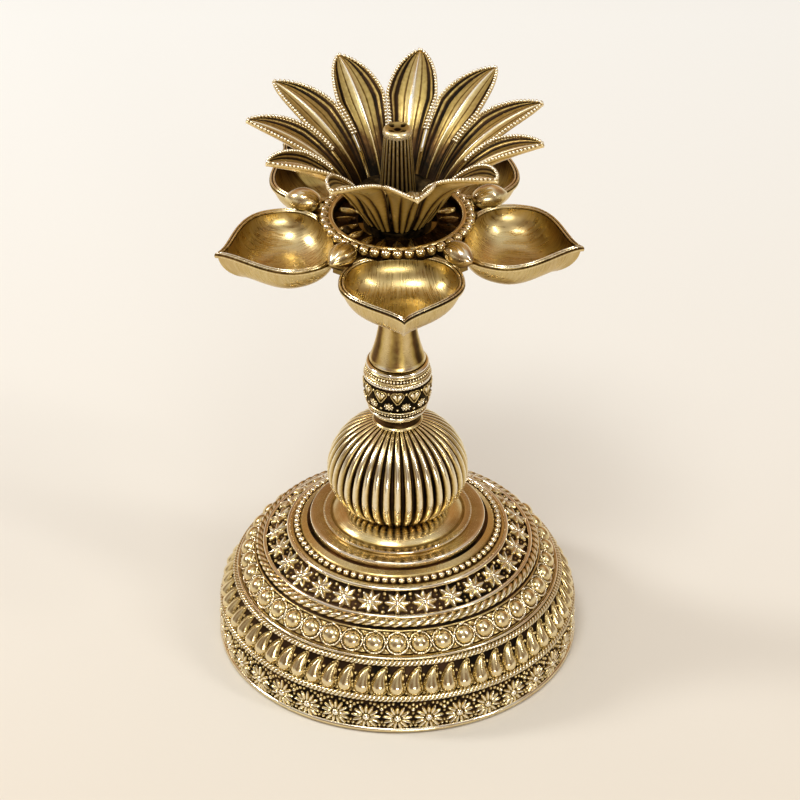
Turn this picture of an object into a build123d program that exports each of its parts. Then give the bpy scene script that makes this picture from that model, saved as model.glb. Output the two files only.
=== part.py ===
from build123d import *
import os
from math import asin, cos, degrees, pi, radians, sin, sqrt, tan

# Aarti lamp of cast and turned brass: a domed base, a column clamped by a tie rod, a tray of
# five oil bowls round a beaded well, and a lotus of eleven petals with an incense holder.
# Millimetres. The lamp stands on z = 0 with its axis on Z, and one bowl points almost to -Y.

# Domed base, cast as an open shell
RIM_R = 67.4
HEM_TOP_R = 67.0
HEM_H = 15.4
HEM_BULGE = 0.6
HEM_TOP_LEAN = 15.0
SHOULDER_R = 52.4
SHOULDER_Z = 39.4
SHOULDER_BULGE = 2.0
SHOULDER_LEAN = 45.0
CROWN_R = 34.4
CROWN_BULGE = 0.6
DOME_H = 50.5
DOME_WALL = 3.0
LOWER_ROPE_R = 1.3
MIDDLE_ROPE_R = 1.2
MIDDLE_ROPE_AT = 0.475
UPPER_ROPE_R = 1.6
BOSSES = 42
BOSS_ROW_AT = 0.735
BOSS_W = 6.4
BOSS_H = 1.7
MANGOES = 63
MANGO_ROW_AT = 0.145
MANGO_W = 4.7
MANGO_ROOT_L = 3.0
MANGO_TIP_L = 7.4
MANGO_H = 1.4
MANGO_LEAN = 9.0
PEARLS = 78
PEARL_ROW_AT = 0.8
PEARL_R = 1.3
PEARL_SINK = 0.1
FOOT_BEAD_R = 1.0
FOOT_BEAD_AT = 0.08
CROWN_RING_R = 0.9
CROWN_RINGS_AT = (0.113, 0.617)
FLOWERS = 28
FLOWER_W = 8.4
FLOWER_H = 1.2
FLOWER_GROUND = 0.75
DAISIES = 36
DAISY_AT = 0.43
DAISY_EYE_R = 1.5
DAISY_EYE_SINK = 0.6

# Column, from the dome up
PLINTH_R = 33.2
PLINTH_T = 2.5
PLINTH_EDGE = 0.6
FOOT_R = 28.2
FOOT_FLANGE_T = 1.2
FOOT_SWELL_R = 24.0
FOOT_SWELL = 1.3
FOOT_H = 4.0
BALL_R = 26.6
BALL_FOOT_R = 14.9
BALL_TOP_R = 9.2
BALL_LOW_H = 16.3
BALL_UP_H = 22.3
BALL_RIBS = 38
BALL_RIB_DEPTH = 0.055
COLLAR_H = 5.2
COLLAR_COVE = 0.8
VASE_FOOT_R = 9.5
VASE_SWELL = 2.5
VASE_TOP_R = 10.4
VASE_H = 21.9
VASE_BEAD_R = 0.7
STEM_FOOT_R = 10.3
STEM_WAIST_R = 6.5
STEM_SWEEP_H = 27.0
STEM_SWEEP = 1.3
STEM_TOP_R = 9.0
STEM_FLARE_H = 6.0
STEM_LIP_T = 1.6
STEM_H = 53.3

# Threaded tie rod, with a washer and a nut at each end
ROD_R = 3.0
ROD_ROOM = 0.3
ROD_PROUD = 1.0
THREAD_GAP = 0.05
NUT_AF = 10.0
NUT_H = 5.0
WASHER_T = 1.2
TOP_WASHER_R = 6.4
BASE_WASHER_R = 12.0

# Tray: hub plate, five bowls, beaded ring, five buds
TURN_GAP = 0.05
HUB_T = 3.0
BOWLS = 5
FIRST_BOWL = -88.0
BEADS = 40
BEAD_R = 1.9
BEAD_ROW_R = 26.4
BEAD_LIFT = 3.1
BEAD_SINK = 0.7
RING_FLANGE_T = 1.4
RING_WALL_T = 1.8
RING_H = 4.6
BOWL_UNDER_BEADS = 1.4
HUB_SET_BACK = 1.0
BOWL_TIP = 68.5
BOWL_W = 43.0
BOWL_WIDE_AT = 43.0
BOWL_MID = 44.0
BOWL_RISE = 2.0
BOWL_DEPTH = 13.5
BOWL_WALL = 1.6
BOWL_FLOOR_T = 1.8
BOWL_FLOOR_SHARE = 0.35
OGEE_BACK = 7.0
OGEE_OUT = 3.0
SIDE_PULL = 13.0
BACK_PULL = 13.0
LIP_OUT = 0.9
LIP_H = 2.2
LUG_T = 2.0
LUG_SPREAD = 0.38
LUG_REACH = 1.5
WELL_ROOM = 2.0
RIVET_R = 1.25
RIVET_HEAD_R = 2.2
RIVET_HEAD_H = 1.3
RIVET_GAP = 0.05
RIVET_ROW_R = 19.6
BUD_L = 14.0
BUD_W = 9.4
BUD_FULLNESS = 0.55
BUD_GAP = 0.4
BUD_SINK = 0.7
BUD_SEAT = 0.2
TANG_W = 4.0
TANG_PAST = 2.5

# Lotus: eleven petals brazed to the flats of a cup and its hollow foot
PETALS = 11
FIRST_PETAL = 81.0
CUP_FOOT_R = 12.4
CUP_FOOT_H = 3.0
CUP_R = 10.2
CUP_FLAT_H = 9.0
CUP_FLOOR_T = 2.5
CUP_WALL = 2.2
CUP_ROOM = 0.8
CUP_NUT_ROOM = 3.0
PETAL_T = 1.8
PETAL_EDGE_T = 1.0
PETAL_TIP_T = 1.2
PETAL_LEAN = 58.0
PETAL_TIP_LEAN = 18.3
PETAL_BLADE_L = 49.6
PETAL_W = 18.6
PETAL_WIDE_AT = 0.52
PETAL_TIP_W = 1.4
PETAL_CUPPING = 3.2
PETAL_MIDRIB = 1.4
PETAL_GAP = 0.4
PETAL_SEAT = 0.3

# Incense holder, loose in the lotus
CONE_FOOT_R = 7.0
CONE_TOP_R = 5.0
CONE_H = 29.0
CONE_FLUTES = 22
CONE_FLUTE_DEPTH = 0.09
SPIGOT_R = 3.0
SPIGOT_L = 2.2
SPIGOT_GAP = 0.08
CAP_R = 5.3
CAP_H = 2.5
CAP_ROUND = 1.6
CAP_DISH = 0.9
STICK_R = 1.2
STICK_DEPTH = 17.2
SIDE_STICKS = 4
SIDE_STICK_R = 1.0
SIDE_STICK_ROW_R = 3.0
SIDE_STICK_DEPTH = 10.0

# Levels of the seats, each on top of the piece below
rod_hole_r = ROD_R + ROD_ROOM
plinth_z = DOME_H
foot_z = plinth_z + PLINTH_T
ball_z = foot_z + FOOT_H
collar_z = ball_z + BALL_LOW_H + BALL_UP_H
vase_z = collar_z + COLLAR_H
stem_z = vase_z + VASE_H
hub_z = stem_z + STEM_H
lug_z = hub_z + HUB_T
ring_z = lug_z + LUG_T
bowl_rim_z = ring_z + BOWL_RISE
bead_z = ring_z + BEAD_LIFT
rod_top_z = lug_z + WASHER_T + NUT_H + ROD_PROUD
base_washer_z = DOME_H - DOME_WALL - WASHER_T
base_nut_z = base_washer_z - NUT_H
rod_foot_z = base_nut_z - ROD_PROUD
cup_foot_z = rod_top_z + CUP_ROOM
cup_floor_z = cup_foot_z + CUP_FLOOR_T
flats_z = ring_z + CUP_FOOT_H
cap_z = cup_floor_z + CONE_H

# Radii on the tray that follow from the beaded ring and the nut
bowl_back = BEAD_ROW_R - BOWL_UNDER_BEADS
hub_r = bowl_back - HUB_SET_BACK
ring_wall_r = BEAD_ROW_R - BEAD_R + BEAD_SINK
ring_reach = BEAD_ROW_R + BEAD_R
well_r = CUP_FOOT_R + WELL_ROOM
lug_start = TOP_WASHER_R + WELL_ROOM
cup_hollow_r = NUT_AF / sqrt(3) + CUP_NUT_ROOM
cup_top_r = CUP_R + CUP_FLAT_H / tan(radians(PETAL_LEAN))
bud_at = ring_reach + BUD_GAP + BUD_L / 2


def outline(*lines):
    """Flat face inside a closed run of lines and arcs."""
    return make_face([edge for line in lines for edge in line.edges()])


def bowed(start, end, bulge):
    """Arc between two points, which bulges away from the axis when it is drawn upwards."""
    return SagittaArc(start, end, -bulge)


def turned(*lines):
    """Solid of revolution about the lamp's axis of an outline drawn as radius and height."""
    return revolve(Plane.XZ * outline(*lines), Axis.Z)


def disc(radius, height, level):
    """Plain cylinder on the axis, standing on a level."""
    return Pos(0, 0, level + height / 2) * Cylinder(radius, height)


def rod_hole(bottom, top, radius=rod_hole_r):
    """Cutter for the tie rod's hole between two levels."""
    return disc(radius, top - bottom, bottom)


def ridge(row_r, level, radius):
    """Half-round ring that stands out of a turned surface."""
    return Pos(0, 0, level) * Torus(row_r, radius)


def scalloped(radius, count, depth):
    """Round face whose edge is a ring of equal arcs, with valleys a share of the radius deep."""
    step = 2 * pi / count
    valley = radius * (1 - depth)

    def polar(r, angle):
        return (r * cos(angle), r * sin(angle))

    arcs = [
        ThreePointArc(
            polar(valley, (i - 0.5) * step), polar(radius, i * step), polar(valley, (i + 0.5) * step)
        )
        for i in range(count)
    ]
    return make_face(arcs)


def dome_arcs(inset):
    """Hem, shoulder and crown arcs of the dome, moved in by a wall along the surface's lean."""
    corners = (
        (RIM_R, 0, 0),
        (HEM_TOP_R, HEM_H, HEM_TOP_LEAN),
        (SHOULDER_R, SHOULDER_Z, SHOULDER_LEAN),
        (CROWN_R, DOME_H, 90),
    )
    points = [
        (r - inset * cos(radians(lean)), z - inset * sin(radians(lean))) for r, z, lean in corners
    ]
    bulges = (HEM_BULGE, SHOULDER_BULGE, CROWN_BULGE)
    return [bowed(points[i], points[i + 1], bulges[i]) for i in range(len(bulges))]


def on_arc(arc, share):
    """Plane on one of the dome's arcs at a share of its length: X along the ring, Y up it, Z outwards."""
    place = arc @ share
    lean = arc % share
    return Plane(origin=(place.X, 0, place.Y), x_dir=(0, 1, 0), z_dir=(lean.Y, 0, -lean.X))


def bosses(shoulder):
    """Ring of round bosses, each a cap of a ball that is sunk into the dome."""
    ball_r = (BOSS_W**2 / 4 + BOSS_H**2) / (2 * BOSS_H)
    boss = on_arc(shoulder, BOSS_ROW_AT) * Pos(0, 0, BOSS_H - ball_r) * Sphere(ball_r)
    return [turn * boss for turn in around(BOSSES, -90)]


def pearls(crown):
    """Ring of pearls on the inner part of the crown."""
    pearl = on_arc(crown, PEARL_ROW_AT) * Pos(0, 0, -PEARL_SINK) * Sphere(PEARL_R)
    return [turn * pearl for turn in around(PEARLS, 0)]


def mangoes(shoulder):
    """Ring of mango drops that stand with their tips up and lean to the right."""
    side = MANGO_W * 2 / 3
    drop = outline(
        Bezier((0, -MANGO_ROOT_L), (side, -MANGO_ROOT_L), (side, MANGO_ROOT_L), (0, MANGO_TIP_L)),
        Line((0, MANGO_TIP_L), (0, -MANGO_ROOT_L)),
    )
    mango = Pos(0, 0, MANGO_H - MANGO_W / 2) * Rot(0, 0, -MANGO_LEAN) * revolve(drop, Axis.Y)
    mango = on_arc(shoulder, MANGO_ROW_AT) * mango
    return [turn * mango for turn in around(MANGOES, -90)]


def daisy_eyes(hem):
    """Ring of the daisies' round eyes on the hem."""
    eye = on_arc(hem, DAISY_AT) * Pos(0, 0, -DAISY_EYE_SINK) * Sphere(DAISY_EYE_R)
    return [turn * eye for turn in around(DAISIES, -90)]


def flower_ground(crown):
    """Cutter that sinks the crown between its two rings, as the ground behind the flowers."""
    start, end = CROWN_RINGS_AT
    planes = [on_arc(crown, share) for share in (start, (start + end) / 2, end)]
    floor = [plane.origin - plane.z_dir * FLOWER_GROUND for plane in planes]
    above = [plane.origin + plane.z_dir * FLOWER_GROUND for plane in planes]
    low = [(place.X, place.Z) for place in floor]
    high = [(place.X, place.Z) for place in above]
    return turned(
        ThreePointArc(*low),
        Line(low[-1], high[-1]),
        ThreePointArc(*reversed(high)),
        Line(high[0], low[0]),
    )


def flowers(crown):
    """Ring of flowers on their sunk ground, each a low round mound."""
    ball_r = (FLOWER_W**2 / 4 + FLOWER_H**2) / (2 * FLOWER_H)
    flower = Pos(0, 0, FLOWER_H - ball_r) * Sphere(ball_r)
    flower = on_arc(crown, sum(CROWN_RINGS_AT) / 2) * Pos(0, 0, -FLOWER_GROUND) * flower
    return [turn * flower for turn in around(FLOWERS, -90)]


def base_dome():
    """Open cast shell with its main relief: raised rings, and rows of eyes, mangoes, bosses, flowers
    and pearls."""
    roof_z = DOME_H - DOME_WALL
    hem, shoulder, crown = dome_arcs(0)
    block = turned(
        hem,
        shoulder,
        crown,
        Line((CROWN_R, DOME_H), (0, DOME_H)),
        Line((0, DOME_H), (0, 0)),
        Line((0, 0), (RIM_R, 0)),
    )
    hollow = turned(
        *dome_arcs(DOME_WALL),
        Line((CROWN_R, roof_z), (0, roof_z)),
        Line((0, roof_z), (0, 0)),
        Line((0, 0), (RIM_R - DOME_WALL, 0)),
    )
    rings = [ridge(HEM_TOP_R, HEM_H, LOWER_ROPE_R), ridge(SHOULDER_R, SHOULDER_Z, UPPER_ROPE_R)]
    rows = [(hem, FOOT_BEAD_AT, FOOT_BEAD_R), (shoulder, MIDDLE_ROPE_AT, MIDDLE_ROPE_R)]
    rows += [(crown, share, CROWN_RING_R) for share in CROWN_RINGS_AT]
    for arc, share, radius in rows:
        place = arc @ share
        rings.append(ridge(place.X, place.Y, radius))
    relief = rings + daisy_eyes(hem) + mangoes(shoulder) + bosses(shoulder)
    relief += flowers(crown) + pearls(crown)
    return block - flower_ground(crown) + relief - hollow - rod_hole(roof_z, DOME_H)


def plinth_disc():
    """Plain disc with an eased upper edge."""
    plate = disc(PLINTH_R, PLINTH_T, plinth_z)
    plate = fillet(plate.edges().sort_by(Axis.Z)[-1], PLINTH_EDGE)
    return plate - rod_hole(plinth_z, foot_z)


def ball_foot():
    """Thin flange with a swelling dish that rises to the ball's lower seat."""
    flange_z = foot_z + FOOT_FLANGE_T
    return turned(
        Line((rod_hole_r, foot_z), (FOOT_R, foot_z)),
        Line((FOOT_R, foot_z), (FOOT_R, flange_z)),
        Line((FOOT_R, flange_z), (FOOT_SWELL_R, flange_z)),
        bowed((FOOT_SWELL_R, flange_z), (BALL_FOOT_R, ball_z), FOOT_SWELL),
        Line((BALL_FOOT_R, ball_z), (rod_hole_r, ball_z)),
        Line((rod_hole_r, ball_z), (rod_hole_r, foot_z)),
    )


def ribbed_ball():
    """Gadrooned ball: scalloped rounds lofted along a half ellipse below and one above its girth."""
    girth_z = ball_z + BALL_LOW_H
    low_turn = degrees(asin(sqrt(1 - (BALL_FOOT_R / BALL_R) ** 2)))
    up_turn = degrees(asin(sqrt(1 - (BALL_TOP_R / BALL_R) ** 2)))
    low_axis = BALL_LOW_H / sin(radians(low_turn))
    up_axis = BALL_UP_H / sin(radians(up_turn))
    rounds = [(-low_turn * share, low_axis) for share in (1, 0.5)]
    rounds += [(up_turn * share, up_axis) for share in (0, 1 / 3, 2 / 3, 1)]
    sections = [
        Pos(0, 0, girth_z + axis * sin(radians(turn)))
        * scalloped(BALL_R * cos(radians(turn)), BALL_RIBS, BALL_RIB_DEPTH)
        for turn, axis in rounds
    ]
    return loft(sections) - rod_hole(ball_z, collar_z)


def neck_collar():
    """Short spool with a hollow waist between the ball and the vase."""
    return turned(
        Line((rod_hole_r, collar_z), (BALL_TOP_R, collar_z)),
        bowed((BALL_TOP_R, collar_z), (VASE_FOOT_R, vase_z), -COLLAR_COVE),
        Line((VASE_FOOT_R, vase_z), (rod_hole_r, vase_z)),
        Line((rod_hole_r, vase_z), (rod_hole_r, collar_z)),
    )


def neck_vase():
    """Swelling barrel with a raised ring near each end."""
    side = bowed((VASE_FOOT_R, vase_z), (VASE_TOP_R, stem_z), VASE_SWELL)
    barrel = turned(
        Line((rod_hole_r, vase_z), (VASE_FOOT_R, vase_z)),
        side,
        Line((VASE_TOP_R, stem_z), (rod_hole_r, stem_z)),
        Line((rod_hole_r, stem_z), (rod_hole_r, vase_z)),
    )
    lower = side @ (2 * VASE_BEAD_R / VASE_H)
    upper = side @ (1 - 2 * VASE_BEAD_R / VASE_H)
    return barrel + [ridge(lower.X, lower.Y, VASE_BEAD_R), ridge(upper.X, upper.Y, VASE_BEAD_R)]


def stem_cone():
    """Plain stem that sweeps in to a waist and flares out under the tray."""
    waist_z = stem_z + STEM_SWEEP_H
    lip_z = hub_z - STEM_LIP_T
    flare_z = lip_z - STEM_FLARE_H
    flare_bow = (STEM_TOP_R - STEM_WAIST_R) / 4
    return turned(
        Line((rod_hole_r, stem_z), (STEM_FOOT_R, stem_z)),
        bowed((STEM_FOOT_R, stem_z), (STEM_WAIST_R, waist_z), -STEM_SWEEP),
        Line((STEM_WAIST_R, waist_z), (STEM_WAIST_R, flare_z)),
        bowed((STEM_WAIST_R, flare_z), (STEM_TOP_R, lip_z), -flare_bow),
        Line((STEM_TOP_R, lip_z), (STEM_TOP_R, hub_z)),
        Line((STEM_TOP_R, hub_z), (rod_hole_r, hub_z)),
        Line((rod_hole_r, hub_z), (rod_hole_r, stem_z)),
    )


def washer(radius, level):
    """Plain washer on the tie rod."""
    return disc(radius, WASHER_T, level) - rod_hole(level, level + WASHER_T)


def nut(level):
    """Hexagon nut on the tie rod."""
    hexagon = RegularPolygon(NUT_AF / 2, 6, major_radius=False)
    blank = Pos(0, 0, level) * extrude(hexagon, NUT_H)
    return blank - rod_hole(level, level + NUT_H, ROD_R + THREAD_GAP)


def around(count, first):
    """Turns about the axis for a ring of equal pieces, the first at a given angle."""
    return [Rot(0, 0, first + 360 * i / count) for i in range(count)]


def rivet_holes(bottom, top):
    """Cutters for the rivets, one on each bowl's centre line."""
    hole = Pos(RIVET_ROW_R, 0, 0) * disc(RIVET_R + RIVET_GAP, top - bottom, bottom)
    return [turn * hole for turn in around(BOWLS, FIRST_BOWL)]


def tray_hub():
    """Round plate on the stem's end that everything on the tray stands on."""
    plate = disc(hub_r, HUB_T, hub_z)
    turning_hole = rod_hole(hub_z, lug_z, ROD_R + TURN_GAP)
    return plate - turning_hole - rivet_holes(hub_z, lug_z)


def leaf(share, level):
    """Betel-leaf outline of a bowl at one level, drawn along +X and scaled about its middle."""

    def at(x, y):
        return (BOWL_MID + (x - BOWL_MID) * share, y * share)

    half = BOWL_W / 2
    halves = []
    for hand in (1, -1):
        halves += [
            Bezier(
                at(BOWL_TIP, 0),
                at(BOWL_TIP - OGEE_BACK, hand * OGEE_OUT),
                at(BOWL_WIDE_AT + SIDE_PULL, hand * half),
                at(BOWL_WIDE_AT, hand * half),
            ),
            Bezier(
                at(BOWL_WIDE_AT, hand * half),
                at(BOWL_WIDE_AT - SIDE_PULL, hand * half),
                at(bowl_back, hand * BACK_PULL),
                at(bowl_back, 0),
            ),
        ]
    return Pos(0, 0, level) * make_face(halves)


def hull_of_leaves(rim_share, floor_share, depth):
    """Boat form: leaf outlines that turn from upright at the rim to flat at the floor."""
    turns = [radians(90 * i / 4) for i in range(5)]
    return loft(
        [
            leaf(
                floor_share + (rim_share - floor_share) * cos(turn), bowl_rim_z - depth * sin(turn)
            )
            for turn in turns
        ]
    )


def lip_band(out, bottom, top):
    """Upright band round a bowl's rim, standing out from the leaf outline."""
    return extrude(leaf(1 + 2 * out / BOWL_W, bottom), top - bottom)


def bowl():
    """Oil bowl along +X with a thick lip, and a flat lug that goes under the beaded ring."""
    inner_share = 1 - 2 * BOWL_WALL / BOWL_W
    floor_inner = BOWL_FLOOR_SHARE * inner_share
    shell = hull_of_leaves(1, BOWL_FLOOR_SHARE, BOWL_DEPTH)
    shell += lip_band(LIP_OUT, bowl_rim_z - LIP_H, bowl_rim_z)
    lug_end = bowl_back + LUG_REACH
    lug = Polygon(
        (lug_start, -lug_start * LUG_SPREAD),
        (lug_end, -lug_end * LUG_SPREAD),
        (lug_end, lug_end * LUG_SPREAD),
        (lug_start, lug_start * LUG_SPREAD),
        align=None,
    )
    shell += Pos(0, 0, lug_z) * extrude(lug, LUG_T)
    shell -= hull_of_leaves(inner_share, floor_inner, BOWL_DEPTH - BOWL_FLOOR_T)
    shell -= disc(ring_reach + BUD_GAP, RING_H, ring_z)
    hole = Pos(RIVET_ROW_R, 0, 0) * disc(RIVET_R + RIVET_GAP, LUG_T, lug_z)
    return shell - hole


def bead_ring():
    """Beaded collar: a flat flange, an upright wall and a row of round beads outside it."""
    flange_z = ring_z + RING_FLANGE_T
    top_z = ring_z + RING_H
    wall_in = ring_wall_r - RING_WALL_T
    collar = turned(
        Line((well_r, ring_z), (ring_wall_r, ring_z)),
        Line((ring_wall_r, ring_z), (ring_wall_r, top_z)),
        Line((ring_wall_r, top_z), (wall_in, top_z)),
        Line((wall_in, top_z), (wall_in, flange_z)),
        Line((wall_in, flange_z), (well_r, flange_z)),
        Line((well_r, flange_z), (well_r, ring_z)),
    )
    bead = Pos(BEAD_ROW_R, 0, bead_z) * Sphere(BEAD_R)
    collar += [turn * bead for turn in around(BEADS, 0)]
    return collar - rivet_holes(ring_z, flange_z)


def bowl_rivets():
    """Rivets that hold ring, lugs and hub together, with a domed head at each end."""
    head_z = ring_z + RING_FLANGE_T
    dome_r = (RIVET_HEAD_R**2 + RIVET_HEAD_H**2) / (2 * RIVET_HEAD_H)
    tail_z = hub_z - RIVET_HEAD_H
    rivet = turned(
        Line((0, tail_z), (RIVET_HEAD_R, tail_z)),
        Line((RIVET_HEAD_R, tail_z), (RIVET_HEAD_R, hub_z)),
        Line((RIVET_HEAD_R, hub_z), (RIVET_R, hub_z)),
        Line((RIVET_R, hub_z), (RIVET_R, head_z)),
        Line((RIVET_R, head_z), (RIVET_HEAD_R, head_z)),
        RadiusArc((RIVET_HEAD_R, head_z), (0, head_z + RIVET_HEAD_H), -dome_r),
        Line((0, head_z + RIVET_HEAD_H), (0, tail_z)),
    )
    placed = Pos(RIVET_ROW_R, 0, 0) * rivet
    return Compound(children=[turn * placed for turn in around(BOWLS, FIRST_BOWL)])


def bud():
    """Oval bud along +X, notched over its two bowls' lips, on a tang that the ring clamps."""
    half_l = BUD_L / 2
    half_w = BUD_W / 2
    full_l = half_l * BUD_FULLNESS
    full_w = half_w * BUD_FULLNESS
    oval = outline(
        Bezier((half_l, 0), (half_l, full_w), (full_l, half_w), (0, half_w)),
        Bezier((0, half_w), (-full_l, half_w), (-half_l, full_w), (-half_l, 0)),
        Line((-half_l, 0), (half_l, 0)),
    )
    body = revolve(oval, Axis.X)
    tang_end = bud_at + TANG_PAST
    tang_l = tang_end - well_r
    tang = Pos(tang_end - tang_l / 2, 0, lug_z + LUG_T / 2) * Box(tang_l, TANG_W, LUG_T)
    notch = lip_band(LIP_OUT + BUD_SEAT, lug_z, bowl_rim_z + BUD_SEAT)
    notches = [Rot(0, 0, side * 180 / BOWLS) * notch for side in (1, -1)]
    return Pos(bud_at, 0, ring_z - BUD_SINK + half_w) * body + tang - notches


def cup_blank():
    """Eleven-sided block with sloping flats for the petals, on a round foot."""
    turn = Rot(0, 0, FIRST_PETAL)

    def eleven_sides(inner_r, level):
        sides = RegularPolygon(inner_r, PETALS, major_radius=False, rotation=180 / PETALS)
        return Pos(0, 0, level) * turn * sides

    ends = [eleven_sides(CUP_R, flats_z), eleven_sides(cup_top_r, flats_z + CUP_FLAT_H)]
    block = loft(ends, ruled=True)
    return block + disc(CUP_FOOT_R, CUP_FOOT_H, ring_z)


def lotus_foot():
    """Lower ring of the lotus, hollow so that it stands over the top nut."""
    ring = cup_blank() - disc(cup_top_r * 2, CUP_FLAT_H, cup_foot_z)
    return ring - disc(cup_hollow_r, cup_foot_z - ring_z, ring_z)


def lotus_cup():
    """Cup on the lotus's foot, with a floor drilled for the incense holder's spigot."""
    flats_top_z = flats_z + CUP_FLAT_H
    mouth_r = cup_top_r - CUP_WALL
    floor_r = mouth_r - (flats_top_z - cup_floor_z) / tan(radians(PETAL_LEAN))
    cup = cup_blank() - disc(cup_top_r * 2, cup_foot_z - ring_z, ring_z)
    cup -= turned(
        Line((0, cup_floor_z), (floor_r, cup_floor_z)),
        Line((floor_r, cup_floor_z), (mouth_r, flats_top_z)),
        Line((mouth_r, flats_top_z), (0, flats_top_z)),
        Line((0, flats_top_z), (0, cup_floor_z)),
    )
    return cup - disc(SPIGOT_R + SPIGOT_GAP, CUP_FLOOR_T, cup_foot_z)


def petal_section(share, root_r, root_z):
    """Cross-section of a petal's blade: a trough with a raised midrib, square to the blade's arc."""
    sector = tan(pi / PETALS)
    turn = radians(PETAL_LEAN - PETAL_TIP_LEAN)
    lean = radians(PETAL_LEAN) - turn * share
    bend_r = PETAL_BLADE_L / turn
    r = root_r + bend_r * (sin(radians(PETAL_LEAN)) - sin(lean))
    z = root_z + bend_r * (cos(lean) - cos(radians(PETAL_LEAN)))
    trough = PETAL_CUPPING * sin(pi * share) + PETAL_EDGE_T / 8
    if share > PETAL_WIDE_AT:
        past = (share - PETAL_WIDE_AT) / (1 - PETAL_WIDE_AT)
        half = max(PETAL_W * (1 - past**2) ** 0.75, PETAL_TIP_W) / 2
    else:
        half = PETAL_W * (1 - ((PETAL_WIDE_AT - share) / PETAL_WIDE_AT) ** 2 / 2) / 2
    half = min(half, (r - trough * sin(lean)) * sector - PETAL_GAP)
    thick = PETAL_T + (PETAL_TIP_T - PETAL_T) * share
    edge = PETAL_T + (PETAL_EDGE_T - PETAL_T) * min(1, share / PETAL_WIDE_AT)
    rib = PETAL_MIDRIB * sin(pi * share) + PETAL_EDGE_T / 20
    section = outline(
        ThreePointArc((-half, trough), (-half / 2, trough / 4), (0, rib)),
        ThreePointArc((0, rib), (half / 2, trough / 4), (half, trough)),
        Line((half, trough), (half, trough - edge)),
        ThreePointArc((half, trough - edge), (0, -thick), (-half, trough - edge)),
        Line((-half, trough - edge), (-half, trough)),
    )
    return Plane(origin=(r, 0, z), x_dir=(0, 1, 0), z_dir=(cos(lean), 0, sin(lean))) * section


def petal():
    """Lotus petal along +X: a flat root that seats on the cup, and a lofted, troughed blade."""
    lean = radians(PETAL_LEAN)
    sector = tan(pi / PETALS)
    root_start = PETAL_T / tan(lean) + PETAL_SEAT
    root_end = CUP_FLAT_H / sin(lean)
    half_start = (CUP_R + root_start * cos(lean)) * sector - PETAL_GAP
    half_end = (CUP_R + root_end * cos(lean)) * sector - PETAL_GAP
    flat = Plane(origin=(CUP_R, 0, flats_z), x_dir=(0, 1, 0), z_dir=(sin(lean), 0, -cos(lean)))
    root = Polygon(
        (-half_start, root_start),
        (half_start, root_start),
        (half_end, root_end),
        (-half_end, root_end),
        align=None,
    )
    root_r = CUP_R + root_end * cos(lean)
    root_z = flats_z + root_end * sin(lean)
    shares = (0, 0.15, 0.32, 0.55, 0.78, 0.93, 1)
    blade = loft([petal_section(share, root_r, root_z) for share in shares])
    return extrude(flat * root, PETAL_T) + blade


def incense_cone():
    """Fluted cone on a short spigot, drilled from the top for incense sticks."""
    cone = loft(
        [
            Pos(0, 0, cup_floor_z) * scalloped(CONE_FOOT_R, CONE_FLUTES, CONE_FLUTE_DEPTH),
            Pos(0, 0, cap_z) * scalloped(CONE_TOP_R, CONE_FLUTES, CONE_FLUTE_DEPTH),
        ],
        ruled=True,
    )
    cone += disc(SPIGOT_R, SPIGOT_L, cup_floor_z - SPIGOT_L)
    return cone - stick_holes()


def incense_cap():
    """Round cap with a dished top."""
    top_z = cap_z + CAP_H
    cap = turned(
        Line((0, cap_z), (CAP_R, cap_z)),
        Line((CAP_R, cap_z), (CAP_R, top_z - CAP_ROUND)),
        RadiusArc((CAP_R, top_z - CAP_ROUND), (CAP_R - CAP_ROUND, top_z), -CAP_ROUND),
        bowed((CAP_R - CAP_ROUND, top_z), (0, top_z - CAP_DISH), -CAP_DISH / 4),
        Line((0, top_z - CAP_DISH), (0, cap_z)),
    )
    return cap - stick_holes()


def stick_holes():
    """Drills for one incense stick on the axis and a ring of sticks round it."""
    top_z = cap_z + CAP_H
    middle = disc(STICK_R, STICK_DEPTH, top_z - STICK_DEPTH)
    side = Pos(SIDE_STICK_ROW_R, 0, 0) * disc(
        SIDE_STICK_R, SIDE_STICK_DEPTH, top_z - SIDE_STICK_DEPTH
    )
    return [middle] + [turn * side for turn in around(SIDE_STICKS, 45)]


pieces = {
    "base_dome": base_dome(),
    "plinth_disc": plinth_disc(),
    "ball_foot": ball_foot(),
    "ribbed_ball": ribbed_ball(),
    "neck_collar": neck_collar(),
    "neck_vase": neck_vase(),
    "stem_cone": stem_cone(),
    "tie_rod": disc(ROD_R, rod_top_z - rod_foot_z, rod_foot_z),
    "base_washer": washer(BASE_WASHER_R, base_washer_z),
    "base_nut": nut(base_nut_z),
    "top_washer": washer(TOP_WASHER_R, lug_z),
    "top_nut": nut(lug_z + WASHER_T),
    "tray_hub": tray_hub(),
    "bead_ring": bead_ring(),
    "bowl_rivets": bowl_rivets(),
    "lotus_foot": lotus_foot(),
    "lotus_cup": lotus_cup(),
    "incense_cone": incense_cone(),
    "incense_cap": incense_cap(),
}
one_bowl = bowl()
one_bud = bud()
one_petal = petal()
for i, turn in enumerate(around(BOWLS, FIRST_BOWL), 1):
    pieces[f"bowl_{i}"] = turn * one_bowl
for i, turn in enumerate(around(BOWLS, FIRST_BOWL + 180 / BOWLS), 1):
    pieces[f"bud_{i}"] = turn * one_bud
for i, turn in enumerate(around(PETALS, FIRST_PETAL), 1):
    pieces[f"petal_{i}"] = turn * one_petal

os.makedirs("parts", exist_ok=True)
for name, piece in pieces.items():
    export_step(piece, f"parts/{name}.step")
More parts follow.
